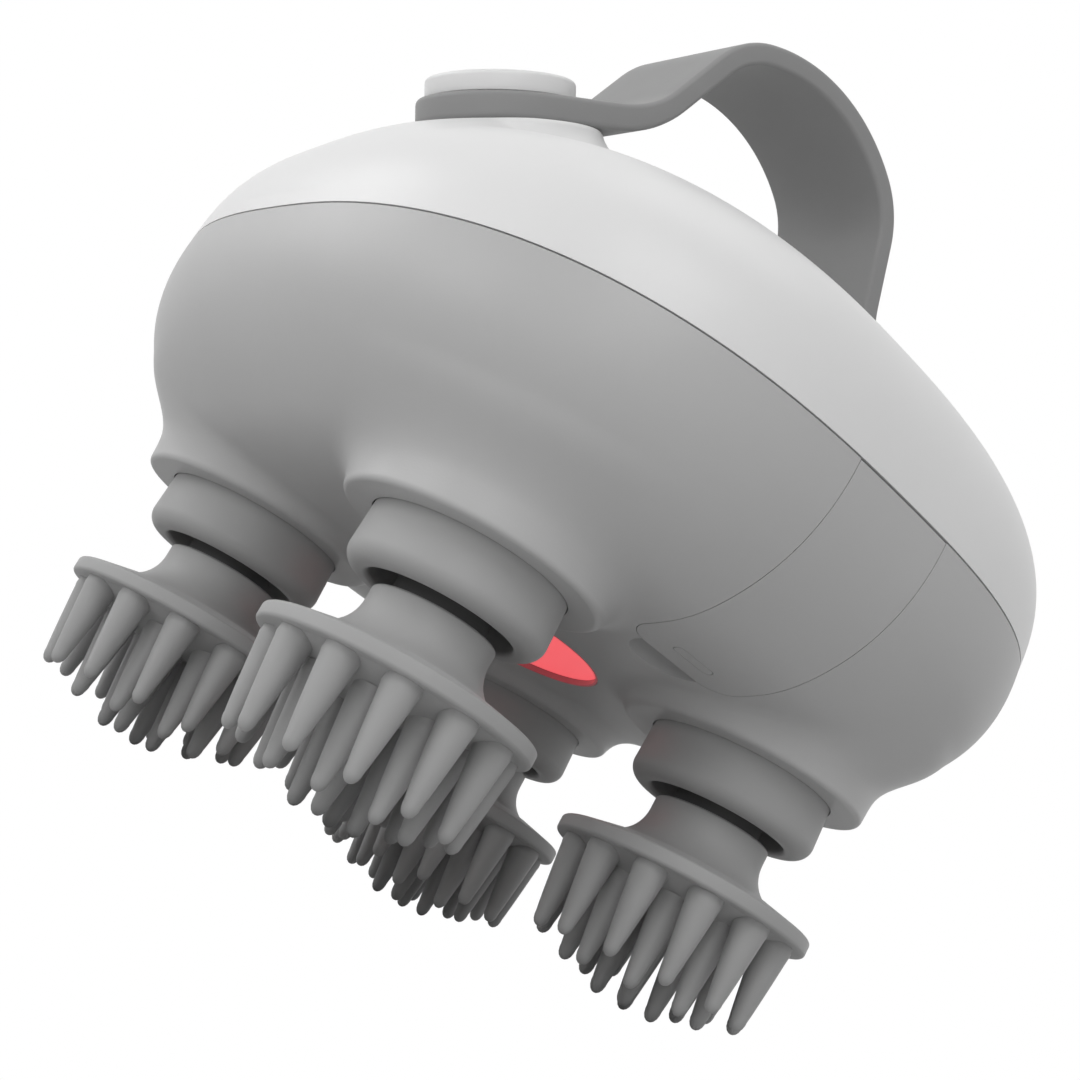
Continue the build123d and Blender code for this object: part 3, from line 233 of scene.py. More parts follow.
FRAME_PLASTIC = Finish("frame_plastic", (0.012, 0.012, 0.013), 0.55, Grain.MOULDED, 0.3, 0.02, 0.08)
SEAL_RUBBER = Finish("seal_rubber", grey(0.006), 0.75, Grain.SILICONE, 0.3, 0.01, 0.05)
GEAR_NYLON = Finish("gear_nylon", (0.76, 0.75, 0.68), 0.45, Grain.POLISHED, 0.8, 0.01, 0.02)
BOARD_GREEN = Finish("board_green", (0.01, 0.09, 0.03), 0.35, Grain.POLISHED, 0.4, 0.01, 0.12)
STEEL = Finish("steel", (0.52, 0.52, 0.54), 0.3, Grain.METAL, 0.3, 0.004, 0.03, metallic=1.0)
BRASS = Finish("brass", (0.60, 0.42, 0.12), 0.28, Grain.METAL, 0.3, 0.004, 0.03, metallic=1.0)
CELL_WRAP = Finish("cell_wrap", (0.02, 0.10, 0.32), 0.25, Grain.POLISHED, 1.5, 0.01, 0.05, coat=0.3)
LED_WHITE = Finish("led_white", (0.84, 0.78, 0.45), 0.3, Grain.POLISHED, 0.5, 0.006, 0.03)
# the lens's red, with its glow painted on as emission
LENS_RED_PAINTED_GLOW = PaintedGlow("lens_red", (1.0, 0.13, 0.15), 0.3, Grain.POLISHED, 1.2, 0.01, 0.02, glow=0.75)
# the recess band: a darker red with a fainter painted glow
LENS_WALL_RED_PAINTED_GLOW = PaintedGlow("lens_wall_red", (0.55, 0.10, 0.12), 0.35, Grain.POLISHED, 0.6, 0.03, 0.15, glow=0.2)

NODES_OF_FINISH = (
    (SEAM_RUBBER, "seam_gasket"),
    (STEEL, "charging_socket gear_pins motor bracket_screws gearbox_screws board_screws"),
    (BOARD_GREEN, "charging_board led_board control_board"),
    (LED_WHITE, "led_chips"),
    (FRAME_PLASTIC, "gear_tray gear_cover motor_bracket battery_cradle tact_switch stud_nut"),
    (GEAR_NYLON, "drive_gear_left drive_gear_right reduction_gear"),
    (BRASS, "motor_pinion"),
    (CELL_WRAP, "battery"),
    (BUTTON_WHITE, "button_guide"),
)
STATION_FINISHES = ((SEAL_RUBBER, "shaft_seal"), (FRAME_PLASTIC, "shaft_bush head_core"),
                    (GEAR_NYLON, "head_gear"))


class Palette:
    """Hands out one material for each finish."""

    def __init__(self) -> None:
        """Starts with no material made."""
        self._made: dict[str, Material] = {}

    def of(self, finish: Finish) -> Material:
        """The material of a finish, made on first use.

        Args:
            finish: the finish to build.

        Returns:
            The shared material.
        """
        if finish.name not in self._made:
            self._made[finish.name] = finish.make()
        return self._made[finish.name]


# ---- mesh helpers --------------------------------------------------------------------


def mesh_object(name: str, points: Sequence | Array, faces: Sequence, smooth: bool = True,
                crease: float = 32.0) -> Piece:
    """Makes an object from points in millimetres.

    Args:
        name: the piece's name.
        points: the vertices, in millimetres.
        faces: vertex indices of each face.
        smooth: whether faces shade smoothly.
        crease: edges sharper than this many degrees stay sharp.

    Returns:
        The new object, at the origin.
    """
    mesh = bpy.data.meshes.new(name)
    mesh.from_pydata((np.asarray(points, dtype=float) * METRES).tolist(), [],
                     faces.tolist() if isinstance(faces, Array) else faces)
    mesh.update()
    piece = linked(name, mesh)
    if smooth:
        shade_smooth(piece, crease)
    return piece


def shade_smooth(piece: Piece, crease: float = 32.0) -> None:
    """Smooth shading with edges sharper than crease degrees kept sharp."""
    piece.data.shade_smooth()
    piece.data.set_sharp_from_angle(angle=math.radians(crease))


def lathe(name: str, profile: Sequence[Point], centre: Point = (0.0, 0.0), segments: int = 128,
          crease: float = 32.0) -> Piece:
    """Turns a closed profile about a vertical axis.

    Args:
        name: the piece's name.
        profile: (radius, height) points, anticlockwise in the r-z plane. The ends may lie on the axis.
        centre: the axis in plan.
        segments: steps round the turn.
        crease: edges sharper than this stay sharp.

    Returns:
        The new object.
    """
    points: list[Triple] = []
    rows: list[list[int]] = []
    for radius, height in profile:
        if radius < 1e-6:
            rows.append([len(points)] * segments)
            points.append((centre[0], centre[1], height))
            continue
        rows.append(list(range(len(points), len(points) + segments)))
        for step in range(segments):
            turn = 2 * math.pi * step / segments
            points.append((centre[0] + radius * math.cos(turn), centre[1] + radius * math.sin(turn),
                           height))
    faces = []
    closed = profile[0][0] > 1e-6 and profile[-1][0] > 1e-6
    pairs = list(zip(rows, rows[1:])) + ([(rows[-1], rows[0])] if closed else [])
    for low, high in pairs:
        for step in range(segments):
            after = (step + 1) % segments
            corners = [low[step], low[after], high[after], high[step]]
            face = [c for i, c in enumerate(corners) if c != corners[i - 1]]
            if len(face) > 2:
                faces.append(face)
    return mesh_object(name, points, faces, crease=crease)


def arc(centre: Point, radius: float, start: float, end: float, steps: int = 8) -> list[Point]:
    """Points of an arc in the r-z plane, with its angles in degrees."""
    turns = [math.radians(start + (end - start) * i / steps) for i in range(steps + 1)]
    return [(centre[0] + radius * math.cos(a), centre[1] + radius * math.sin(a)) for a in turns]


def stadium(reach: float, radius: float, middle: float = 0.0, steps: int = 16) -> list[Point]:
    """A pill shape in plan: two half circles whose centres lie reach to each side."""
    return (arc((reach, middle), radius, -90, 90, steps)
            + arc((-reach, middle), radius, 90, 270, steps))


def prism(name: str, outline: Sequence[Point], low: float, high: float) -> Piece:
    """A straight prism over a plan outline that runs anticlockwise."""
    count = len(outline)
    points = [(x, y, low) for x, y in outline] + [(x, y, high) for x, y in outline]
    faces = [list(range(count))[::-1], list(range(count, 2 * count))]
    faces += [[i, (i + 1) % count, count + (i + 1) % count, count + i] for i in range(count)]
    return mesh_object(name, points, faces, smooth=False)


def linked(name: str, data: bpy.types.ID) -> Piece:
    """A new object in the scene for a mesh, a lamp or a camera."""
    piece = bpy.data.objects.new(name, data)
    bpy.context.scene.collection.objects.link(piece)
    return piece


def evaluated_mesh(piece: Piece) -> bpy.types.Mesh:
    """A plain mesh of the piece with its modifiers applied."""
    bpy.context.view_layer.update()
    graph = bpy.context.evaluated_depsgraph_get()
    return bpy.data.meshes.new_from_object(piece.evaluated_get(graph))


def discard(piece: Piece) -> None:
    """Removes a cutter or a template object with its mesh."""
    mesh = piece.data
    bpy.data.objects.remove(piece)
    if mesh.users == 0:
        bpy.data.meshes.remove(mesh)


class Cut(Enum):
    """What a boolean step does."""

    AWAY = "DIFFERENCE"
    KEEP = "INTERSECT"


def combine(piece: Piece, cutter: Piece, cut: Cut = Cut.AWAY) -> None:
    """Applies a boolean step to a closed piece and uses up the cutter.

    Args:
        piece: the closed mesh that changes.
        cutter: the closed mesh that cuts or bounds it.
        cut: what the step does.
    """
    step = piece.modifiers.new("cut", "BOOLEAN")
    step.operation = cut.value
    step.solver = "MANIFOLD"
    step.object = cutter
    done = evaluated_mesh(piece)
    piece.modifiers.clear()
    old = piece.data
    piece.data = done
    bpy.data.meshes.remove(old)
    discard(cutter)


def settle(piece: Piece, body: str, material: Material, slot: str, *nodes: str) -> Piece:
    """Dresses a piece and puts it in the frame.

    Args:
        piece: the finished piece.
        body: the CAD body that it rides on.
        material: its material.
        slot: the record's material slot; not used.
        nodes: CAD nodes that it stands for.

    Returns:
        The piece.
    """
    piece.data.materials.clear()
    piece.data.materials.append(material)
    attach(piece, body)
    if nodes:
        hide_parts(*nodes)
    LOG.info("%s rides on %s, %d faces", piece.name, body, len(piece.data.polygons))
    return piece


# ---- smooth forms by formula ---------------------------------------------------------


def blend_min(first: Array, second: Array, reach: float) -> Array:
    """The nearer of two forms, with a soft valley of the given reach between them."""
    share = np.clip(0.5 + 0.5 * (second - first) / reach, 0, 1)
    return second * (1 - share) + first * share - reach * share * (1 - share)


def blend_max(first: Array, second: Array, reach: float) -> Array:
    """What two forms share, with an edge rounded over the given reach."""
    return -blend_min(-first, -second, reach)


def slope_of(field: Field, points: Array, step: float = 0.02) -> Array:
    """The gradient of a field at each point."""
    slope = np.empty_like(points)
    for axis in range(3):
        shift = np.zeros(3)
        shift[axis] = step
        slope[:, axis] = (field(*(points + shift).T) - field(*(points - shift).T)) / (2 * step)
    return slope


def onto_form(field: Field, points: Array, rounds: int = 4) -> Array:
    """Moves points along the gradient until they lie on the form."""
    for _ in range(rounds):
        slope = slope_of(field, points)
        steep = np.maximum((slope ** 2).sum(axis=1), 1e-6)
        move = slope * (field(*points.T) / steep)[:, None]
        length = np.linalg.norm(move, axis=1, keepdims=True)
        points = points - move * np.minimum(1.0, 1.0 / np.maximum(length, 1e-9))
    return points


def refine(piece: Piece, field: Field, zone: Callable[[Array], Array], levels: int = 2) -> None:
    """Splits the faces in a zone and puts the new vertices on the form.

    Args:
        piece: the mesh, in metres.
        field: the form, in millimetres.
        zone: tells which points, in millimetres, lie in the zone.
        levels: how often each edge is halved.
    """
    for _ in range(levels):
        work = bmesh.new()
        work.from_mesh(piece.data)
        points = np.array([v.co for v in work.verts]) / METRES
        marked = zone(points)
        work.verts.ensure_lookup_table()
        edges = [e for e in work.edges if marked[e.verts[0].index] and marked[e.verts[1].index]]
        bmesh.ops.subdivide_edges(work, edges=edges, cuts=1, use_grid_fill=True)
        work.to_mesh(piece.data)
        work.free()
    points = np.empty(len(piece.data.vertices) * 3)
    piece.data.vertices.foreach_get("co", points)
    points = points.reshape(-1, 3) / METRES
    marked = zone(points)
    points[marked] = onto_form(field, points[marked], 4)
    piece.data.vertices.foreach_set("co", (points * METRES).ravel())
    piece.data.update()


def form_mesh(name: str, field: Field, low: Sequence[float], high: Sequence[float],
              step: float, rounds: int = 3) -> Piece:
    """Meshes the surface where a field is zero, with one vertex in each cell that it crosses.

    Args:
        name: the piece's name.
        field: negative inside the form, in millimetres.
        low: lowest corner of the sampled box.
        high: highest corner.
        step: cell size.
        rounds: how often the mesh is evened out and put back on the form.

    Returns:
        The closed mesh.
    """
    axes = [np.arange(a, b + step, step) for a, b in zip(low, high)]
    grid = field(*np.meshgrid(*axes, indexing="ij"))
    for axis in range(3):
        edge = [slice(None)] * 3
        for end in (0, -1):
            edge[axis] = end
            grid[tuple(edge)] = np.maximum(grid[tuple(edge)], 0.01)
    inside = grid < 0
    shape = [n - 1 for n in grid.shape]
    count = np.zeros(shape, dtype=np.int8)
    corner = {}
    for i in (0, 1):
        for j in (0, 1):
            for k in (0, 1):
                part = (slice(i, i + shape[0]), slice(j, j + shape[1]), slice(k, k + shape[2]))
                corner[i, j, k] = part
                count += inside[part]
    active = (count > 0) & (count < 8)
    index = np.full(shape, -1, dtype=np.int64)
    index[active] = np.arange(active.sum())
    total = np.zeros((active.sum(), 3))
    hits = np.zeros(active.sum())
    cells = np.argwhere(active).astype(float)
    for first in corner:
        for axis in range(3):
            if first[axis]:
                continue
            second = tuple(1 if a == axis else first[a] for a in range(3))
            one = grid[corner[first]][active]
            two = grid[corner[second]][active]
            crossed = (one < 0) != (two < 0)
            share = np.where(crossed, one / np.where(crossed, one - two, 1.0), 0.0)
            spot = np.array(first, dtype=float) + np.zeros_like(cells)
            spot[:, axis] += share
            total[crossed] += spot[crossed]
            hits[crossed] += 1
    points = np.array([a[0] for a in axes]) + (cells + total / hits[:, None]) * step
    faces = []
    for axis in range(3):
        across, along = [a for a in range(3) if a != axis]
        lower = [slice(1, n - 1) for n in grid.shape]
        lower[axis] = slice(0, grid.shape[axis] - 1)
        upper = list(lower)
        upper[axis] = slice(1, grid.shape[axis])
        one, two = inside[tuple(lower)], inside[tuple(upper)]
        for flip, crossed in ((False, one & ~two), (True, ~one & two)):
            where = np.argwhere(crossed)
            where[:, across] += 1
            where[:, along] += 1
            ring = []
            for da, db in ((0, 0), (1, 0), (1, 1), (0, 1)):
                cell = where.copy()
                cell[:, across] -= da
                cell[:, along] -= db
                ring.append(index[cell[:, 0], cell[:, 1], cell[:, 2]])
            if flip == (axis != 1):
                ring = ring[::-1]
            faces.append(np.stack(ring, axis=1))
    quads = np.concatenate(faces)
    points = onto_form(field, points)
    for _ in range(rounds):
        points = onto_form(field, even_out(points, quads), 2)
    return mesh_object(name, points, quads)


def even_out(points: Array, quads: Array) -> Array:
    """Moves each vertex half way to the mean of its neighbours."""
    ends = np.concatenate([quads[:, [0, 1]], quads[:, [1, 2]], quads[:, [2, 3]], quads[:, [3, 0]]])
    total = np.zeros_like(points)
    for axis in range(3):
        total[:, axis] = np.bincount(ends[:, 0], points[ends[:, 1], axis], len(points))
        total[:, axis] += np.bincount(ends[:, 1], points[ends[:, 0], axis], len(points))
    count = np.bincount(ends.ravel(), minlength=len(points))[:, None]
    return 0.5 * points + 0.5 * total / np.maximum(count, 1)


def true_normals(piece: Piece, field: Field, near: float = 0.02, limit: float = 25.0) -> None:
    """Gives the corners that lie on a form the form's own normals, so that cuts leave no shading marks.

    Args:
        piece: the mesh, in metres.
        field: the form, in millimetres.
        near: how close to the form a vertex counts as on it.
        limit: a face that leans further than this many degrees from the form keeps its own normal.
    """
    mesh = piece.data
    count = len(mesh.vertices)
    points = np.empty(count * 3)
    mesh.vertices.foreach_get("co", points)
    points = points.reshape(-1, 3) / METRES
    slope = slope_of(field, points)
    slope /= np.maximum(np.linalg.norm(slope, axis=1, keepdims=True), 1e-9)
    on_form = np.abs(field(*points.T)) < near
    corners = len(mesh.loops)
    vertex = np.empty(corners, dtype=np.int64)
    mesh.loops.foreach_get("vertex_index", vertex)
    owner = np.repeat(np.arange(len(mesh.polygons)), [p.loop_total for p in mesh.polygons])
    flat = np.empty(len(mesh.polygons) * 3)
    mesh.polygons.foreach_get("normal", flat)
    flat = flat.reshape(-1, 3)[owner]
    normals = np.empty(corners * 3)
    mesh.corner_normals.foreach_get("vector", normals)
    normals = normals.reshape(-1, 3)
    follows = on_form[vertex] & ((flat * slope[vertex]).sum(axis=1) > math.cos(math.radians(limit)))
    normals[follows] = slope[vertex[follows]]
    mesh.normals_split_custom_set(normals.tolist())


@dataclass(frozen=True)
class BodyForm:
    """The body's outer form: a rounded-square dome over a bowl with four bosses and two pedestals."""

    half_x: float = 52.2
    half_y: float = 52.8
    seam_z: float = 54.7
    seam_power: float = 2.6
    crown_power: float = 2.46
    base_power: float = 3.1
    dome_rise: float = 28.6
    dome_side: float = 2.54
    dome_crown: float = 1.8
    bowl_depth: float = 25.4
    bowl_side: float = 2.2
    bowl_floor: float = 3.35
    floor_z: float = 32.2
    floor_round: float = 4.0
    head_x: float = 23.267
    head_y: float = 23.8
    boss_z: float = 30.4
    boss_r: float = 14.95
    waist_r: float = 15.1
    waist_z: float = 33.7
    flare_r: float = 2.0
    flare_h: float = 5.4
    boss_blend: float = 3.6
    boss_edge: float = 0.7
    flare_edge: float = 2.0
    neck_x: float = 33.96
    neck_z: float = 80.44
    neck_tilt: float = math.radians(34.4)
    pedestal_r: float = 12.07
    pedestal_flare: float = 0.216
    pedestal_curve: float = 1.83
    pedestal_flare_h: float = 4.6
    pedestal_depth: float = 8.0
    pedestal_edge: float = 0.7
    pedestal_blend: float = 0.9
    skirt_r: float = 9.0
    skirt_curve: float = 0.026
    skirt_from: float = 0.25
    skirt_over: float = 0.5
    skirt_blend: float = 0.6

    @property
    def stations(self) -> dict[str, Point]:
        """The head stations' names and axes in plan."""
        return {f"{end}_{side}": (sx * self.head_x, sy * self.head_y)
                for end, sy in (("front", -1), ("back", 1)) for side, sx in (("left", -1), ("right", 1))}

    def plan(self, x: Array, y: Array, power: Array, inset: float) -> Array:
        """How far out a point is in plan: 1 on the seam's outline."""
        across = np.abs(x) / (self.half_x - inset)
        along = np.abs(y) / (self.half_y - inset)
        return (across ** power + along ** power + 1e-12) ** (1 / power)

    def _near(self, value: Callable, x: Array, y: Array, z: Array) -> Array:
        """Turns a shape function into a distance by its own slope."""
        step = 0.05
        centre = value(x, y, z)
        dx = (value(x + step, y, z) - centre) / step
        dy = (value(x, y + step, z) - centre) / step
        dz = (value(x, y, z + step) - centre) / step
        return centre / np.sqrt(dx ** 2 + dy ** 2 + dz ** 2 + 1e-4)

    def bowl(self, inset: float = 0.0) -> Field:
        """The plain bowl without bosses, moved in by inset."""
        depth = self.bowl_depth - inset
        floor = self.seam_z - depth * (self.seam_z - self.floor_z) / self.bowl_depth

        def value(x: Array, y: Array, z: Array) -> Array:
            drop = np.clip((self.seam_z - z) / depth, -1.0, 1.2)
            power = self.seam_power + (self.base_power - self.seam_power) * np.clip(drop, 0, 1)
            return self.plan(x, y, power, inset) ** self.bowl_floor + np.abs(drop) ** self.bowl_side - 1

        def field(x: Array, y: Array, z: Array) -> Array:
            return blend_max(self._near(value, x, y, z), floor - z, self.floor_round)

        return field

    def lower(self) -> Field:
        """The bowl with its four bosses blended in."""
        bowl = self.bowl()

        def field(x: Array, y: Array, z: Array) -> Array:
            form = bowl(x, y, z)
            below = np.maximum(self.waist_z - z, 0) / (self.waist_z - self.boss_z)
            above = np.maximum(z - self.waist_z, 0) / self.flare_h
            reach = self.waist_r + (self.boss_r - self.waist_r) * below ** 2 + self.flare_r * above ** 2
            lean = np.sqrt(1 + (2 * self.flare_r * above / self.flare_h) ** 2)
            for sx in (-1, 1):
                for sy in (-1, 1):
                    radius = np.hypot(x - sx * self.head_x, y - sy * self.head_y)
                    boss = (radius - reach) / lean
                    boss = blend_max(boss, z - self.waist_z - self.flare_h, self.flare_edge)
                    form = blend_min(form, boss, self.boss_blend)
            return blend_max(form, self.boss_z - z, self.boss_edge)

        return field

    def neck_axes(self, side: int, x: Array, z: Array) -> tuple[Array, Array]:
        """How far points lie above a pedestal's top, along its axis, and how far across it in x-z."""
        x, z = x - side * self.neck_x, z - self.neck_z
        sine, cosine = side * math.sin(self.neck_tilt), math.cos(self.neck_tilt)
        return x * sine + z * cosine, x * cosine - z * sine

    def pedestal(self, side: int, x: Array, y: Array, z: Array) -> tuple[Array, Array]:
        """One pedestal for the strap.

        Args:
            side: -1 for the button's side, 1 for the stud's.
            x: the points' places across the body.
            y: their places along it.
            z: their heights.

        Returns:
            The distance from the pedestal, and how much of its outer skirt each point gets.
        """
        rise, lean = self.neck_axes(side, x, z)
        drop = np.clip(-rise, 0, self.pedestal_flare_h)
        flare = self.pedestal_flare * drop ** self.pedestal_curve
        tilt = self.pedestal_flare * self.pedestal_curve * drop ** (self.pedestal_curve - 1)
        away = np.hypot(lean, y)
        wall = (away - self.pedestal_r - flare) / np.sqrt(1 + tilt ** 2)
        neck = blend_max(wall, rise, self.pedestal_edge)
        outward = side * lean / np.maximum(away, 1e-6)
        share = np.clip((outward - self.skirt_from) / self.skirt_over, 0, 1)
        share = share ** 2 * (3 - 2 * share)
        beyond = np.maximum(away - self.skirt_r, 0)
        skirt = rise + self.skirt_curve * beyond ** 2
        skirt = skirt / np.sqrt(1 + (2 * self.skirt_curve * beyond) ** 2)
        neck = neck * (1 - share) + skirt * share
        return np.maximum(neck, -rise - self.pedestal_depth), share

    def dome(self, inset: float = 0.0, pedestals: bool = True) -> Field:
        """The dome, moved in by inset, with or without the two pedestals."""

        def value(x: Array, y: Array, z: Array) -> Array:
            lift = np.clip((z - self.seam_z) / (self.dome_rise - inset), -1.0, 1.2)
            power = self.seam_power + (self.crown_power - self.seam_power) * np.clip(lift, 0, 1)
            return self.plan(x, y, power, inset) ** self.dome_crown + np.abs(lift) ** self.dome_side - 1

        def field(x: Array, y: Array, z: Array) -> Array:
            form = self._near(value, x, y, z)
            for side in (-1, 1) if pedestals else ():
                neck, share = self.pedestal(side, x, y, z)
                form = blend_min(form, neck, self.pedestal_blend + self.skirt_blend * share)
            return form

        return field

    def neck_place(self, side: int) -> Matrix:
        """Where a pedestal's top lies: local z is outwards along its axis. side is -1 or 1."""
        turn = Matrix.Rotation(side * self.neck_tilt, 4, "Y")
        return Matrix.Translation(Vector((side * self.neck_x, 0, self.neck_z)) * METRES) @ turn


# ---- shells --------------------------------------------------------------------------


@dataclass
class Maker:
    """Builds pieces round the body's form."""

    form: BodyForm
    palette: Palette

    def on_neck(self, piece: Piece, side: int) -> Piece:
        """Puts a piece made at the origin on a pedestal's axis. The side is -1 or 1."""
        piece.data.transform(self.form.neck_place(side))
        return piece


@dataclass
class Housing(Maker):
    """The white top cover, the grey lower shell, the charging door and the lens."""

    wall: float = 2.2
    seam_half: float = 0.11
    cell: float = 0.55
    inner_cell: float = 1.4
    guide_r: float = 7.86
    collar_hole_r: float = 11.42
    boss_room_r: float = 12.6
    boss_face_t: float = 1.5
    boss_room_top: float = 39.5
    cutter_low: float = 20.0
    core_low: float = 28.0
    core_over: float = 12.0
    foot_reach: float = 6.0
    collar_hole_top: float = 35.0
    lens_r: float = 13.6
    lens_hole_top: float = 36.0
    lens_up: float = 0.8
    lens_gap: float = 0.06
    lens_edge: float = 0.35
    lens_dish: float = 0.1
    flange_r: float = 15.5
    flange_z: float = 34.15
    flange_t: float = 1.0
    lens_wall_r: float = 14.4
    lens_wall_t: float = 1.2
    bezel_t: float = 0.3
    bezel_round: float = 0.05
    door_half: float = 7.7
    door_end_y: float = -31.5
    door_corner: float = 3.5
    door_gap: float = 0.09
    door_t: float = 1.5
    door_clear: float = 0.12
    door_back: float = 1.7
    door_frame: float = 2.0
    door_back_top: float = 51.4
    pill_length: float = 6.0
    pill_width: float = 1.5
    pill_y: float = -35.0
    pill_gap: float = 0.09
    pill_top: float = 46.0
    notch_r: float = 4.7
    notch_depth: float = 2.5
    notch_wall: float = 1.0
    notch_low: float = 24.0
    socket_w: float = 9.24
    socket_h: float = 3.44
    socket_z: float = 44.0
    socket_y: float = -34.0
    socket_reach: float = 20.0

    def box(self, inset: float) -> tuple[list[float], list[float]]:
        """The sampled box in plan, with room round the body."""
        margin = 1.3
        return ([-self.form.half_x - margin + inset, -self.form.half_y - margin + inset],
                [self.form.half_x + margin - inset, self.form.half_y + margin - inset])

    def near_pedestal(self, spots: Array) -> Array:
        """Which points lie near a pedestal's top edge or its foot."""
        form = self.form
        near = np.zeros(len(spots), dtype=bool)
        for side in (-1, 1):
            rise, lean = form.neck_axes(side, spots[:, 0], spots[:, 2])
            reach = np.hypot(lean, spots[:, 1]) - form.pedestal_r
            near |= (rise > -form.pedestal_flare_h - 2) & (reach > -1.5) & (reach < self.foot_reach)
        return near

    def core(self, depth: float, inset: float) -> Piece:
        """The plain bowl set in by depth, as a cutter.

        Args:
            depth: how far the bowl is set in from the skin.
            inset: how far the sampled box is set in.

        Returns:
            The closed cutter, which reaches over the seam.
        """
        low, high = self.box(inset)
        return form_mesh("core", self.form.bowl(depth), [*low, self.core_low],
                         [*high, self.form.seam_z + self.core_over], self.inner_cell, 1)

    def half_space(self, height: float, above: bool) -> Piece:
        """A large block above or below a height."""
        reach = 90.0
        outline = [(-reach, -reach), (reach, -reach), (reach, reach), (-reach, reach)]
        return prism("block", outline, *((height, height + reach) if above else (height - reach, height)))

    def tongue(self, grow: float, low: float, high: float) -> Piece:
        """A prism over the charging door's plan, grown all round."""
        half, end = self.door_half + grow, self.door_end_y + grow
        corner = self.door_corner + grow
        outer = -(self.form.half_y + 8)
        outline = [(-half, outer), (half, outer)]
        outline += arc((half - corner, end - corner), corner, 0, 90, 12)
        outline += arc((-half + corner, end - corner), corner, 90, 180, 12)
        return prism("tongue", outline, low, high)

    def pill(self, grow: float, low: float, high: float) -> Piece:
        """A prism over the charge window's plan."""
        radius = self.pill_width / 2 + grow
        reach = (self.pill_length - self.pill_width) / 2
        outline = stadium(reach, radius, self.pill_y)
        return prism("pill", outline, low, high)

    def round_cutter(self, radius: float, low: float, high: float, centre: Point = (0.0, 0.0),
                     segments: int = 128) -> Piece:
        """A plain cylinder for cutting."""
        profile = [(0, low), (radius, low), (radius, high), (0, high)]
        return lathe("round_cutter", profile, centre, segments)

    def top_cover(self) -> None:
        """Builds the white top cover with its two pedestals."""
        field = self.form.dome()
        low, high = self.box(0)
        crown = self.form.seam_z + self.form.dome_rise
        top = self.form.neck_z + self.form.pedestal_r * math.sin(self.form.neck_tilt)
        cover = form_mesh("cover_shell", field, [*low, self.form.seam_z - 3], [*high, top + 2], self.cell)
        refine(cover, field, self.near_pedestal)
        combine(cover, self.half_space(self.form.seam_z + self.seam_half, above=False))
        hollow = form_mesh("hollow", self.form.dome(self.wall, pedestals=False),
                           [*low, self.form.seam_z - 6], [*high, crown + 2], self.inner_cell, 1)
        combine(cover, hollow)
        for side in (-1, 1):
            combine(cover, self.on_neck(self.round_cutter(self.guide_r, -16, 3), side))
        shade_smooth(cover)
        true_normals(cover, field)
        settle(cover, "housing", self.palette.of(WHITE_SHELL), "dome_white", "top_cover")

    def door_cavity(self, grow: float, depth: float) -> Piece:
        """What lies under the door's plan and outside a form set in by depth."""
        cavity = self.tongue(grow, self.cutter_low, self.form.seam_z + 5)
        combine(cavity, self.core(depth, depth))
        return cavity

    def lower_shell(self) -> None:
        """Builds the grey lower shell, and the charging door from the same skin."""
        field = self.form.lower()
        low, high = self.box(0)
        solid = form_mesh("grey_shell", field, [*low, self.form.boss_z - 1.5],
                          [*high, self.form.seam_z + 3], self.cell)
        refine(solid, field, lambda spots: spots[:, 2] < self.form.boss_z + 1.2)
        combine(solid, self.half_space(self.form.seam_z - self.seam_half, above=True))
        door = linked("door_skin", solid.data.copy())
        self.hollow_out(solid)
        combine(solid, self.door_cavity(self.door_gap, self.door_t + self.door_clear))
        self.open_holes(solid)
        shade_smooth(solid)
        true_normals(solid, field)
        settle(solid, "housing", self.palette.of(GREY_SHELL), "shell_grey", "lower_shell")
        self.door(door, field)

    def hollow_out(self, solid: Piece) -> None:
        """Takes the inside out of the lower body, leaving the wall and the pad behind the door."""
        hollow = self.core(self.wall, self.wall)
        pad = self.tongue(self.door_frame, self.core_low, self.door_back_top)
        combine(pad, self.core(self.door_t + self.door_clear + self.door_back, self.wall))
        combine(hollow, pad)
        roof = self.form.floor_z + self.notch_depth + self.notch_wall
        notch = self.round_cutter(self.notch_r + self.notch_wall, self.notch_low, roof,
                                  (0, self.door_end_y))
        combine(hollow, notch)
        combine(solid, hollow)
        for centre in self.form.stations.values():
            room = self.round_cutter(self.boss_room_r, self.form.boss_z + self.boss_face_t,
                                     self.boss_room_top, centre, 64)
            combine(solid, room)

    def open_holes(self, solid: Piece) -> None:
        """Opens the collar holes, the lens hole, the socket's slot and the nail notch."""
        for centre in self.form.stations.values():
            combine(solid, self.round_cutter(self.collar_hole_r, self.cutter_low,
                                             self.collar_hole_top, centre))
        combine(solid, self.round_cutter(self.lens_r, self.cutter_low, self.lens_hole_top, segments=160))
        roof = self.form.floor_z + self.notch_depth
        combine(solid, self.round_cutter(self.notch_r, self.cutter_low, roof, (0, self.door_end_y)))
        combine(solid, self.slot_cutter(self.socket_w, self.socket_h))

    def slot_cutter(self, width: float, height: float) -> Piece:
        """A pill-shaped bar along y, for the charging socket's opening."""
        outline = stadium((width - height) / 2, height / 2, steps=12)
        bar = prism("slot", outline, 0, self.socket_reach)
        turn = Matrix.Rotation(math.radians(90), 4, "X")
        spot = Vector((0, self.socket_y, self.socket_z)) * METRES
        bar.data.transform(Matrix.Translation(spot) @ turn)
        return bar

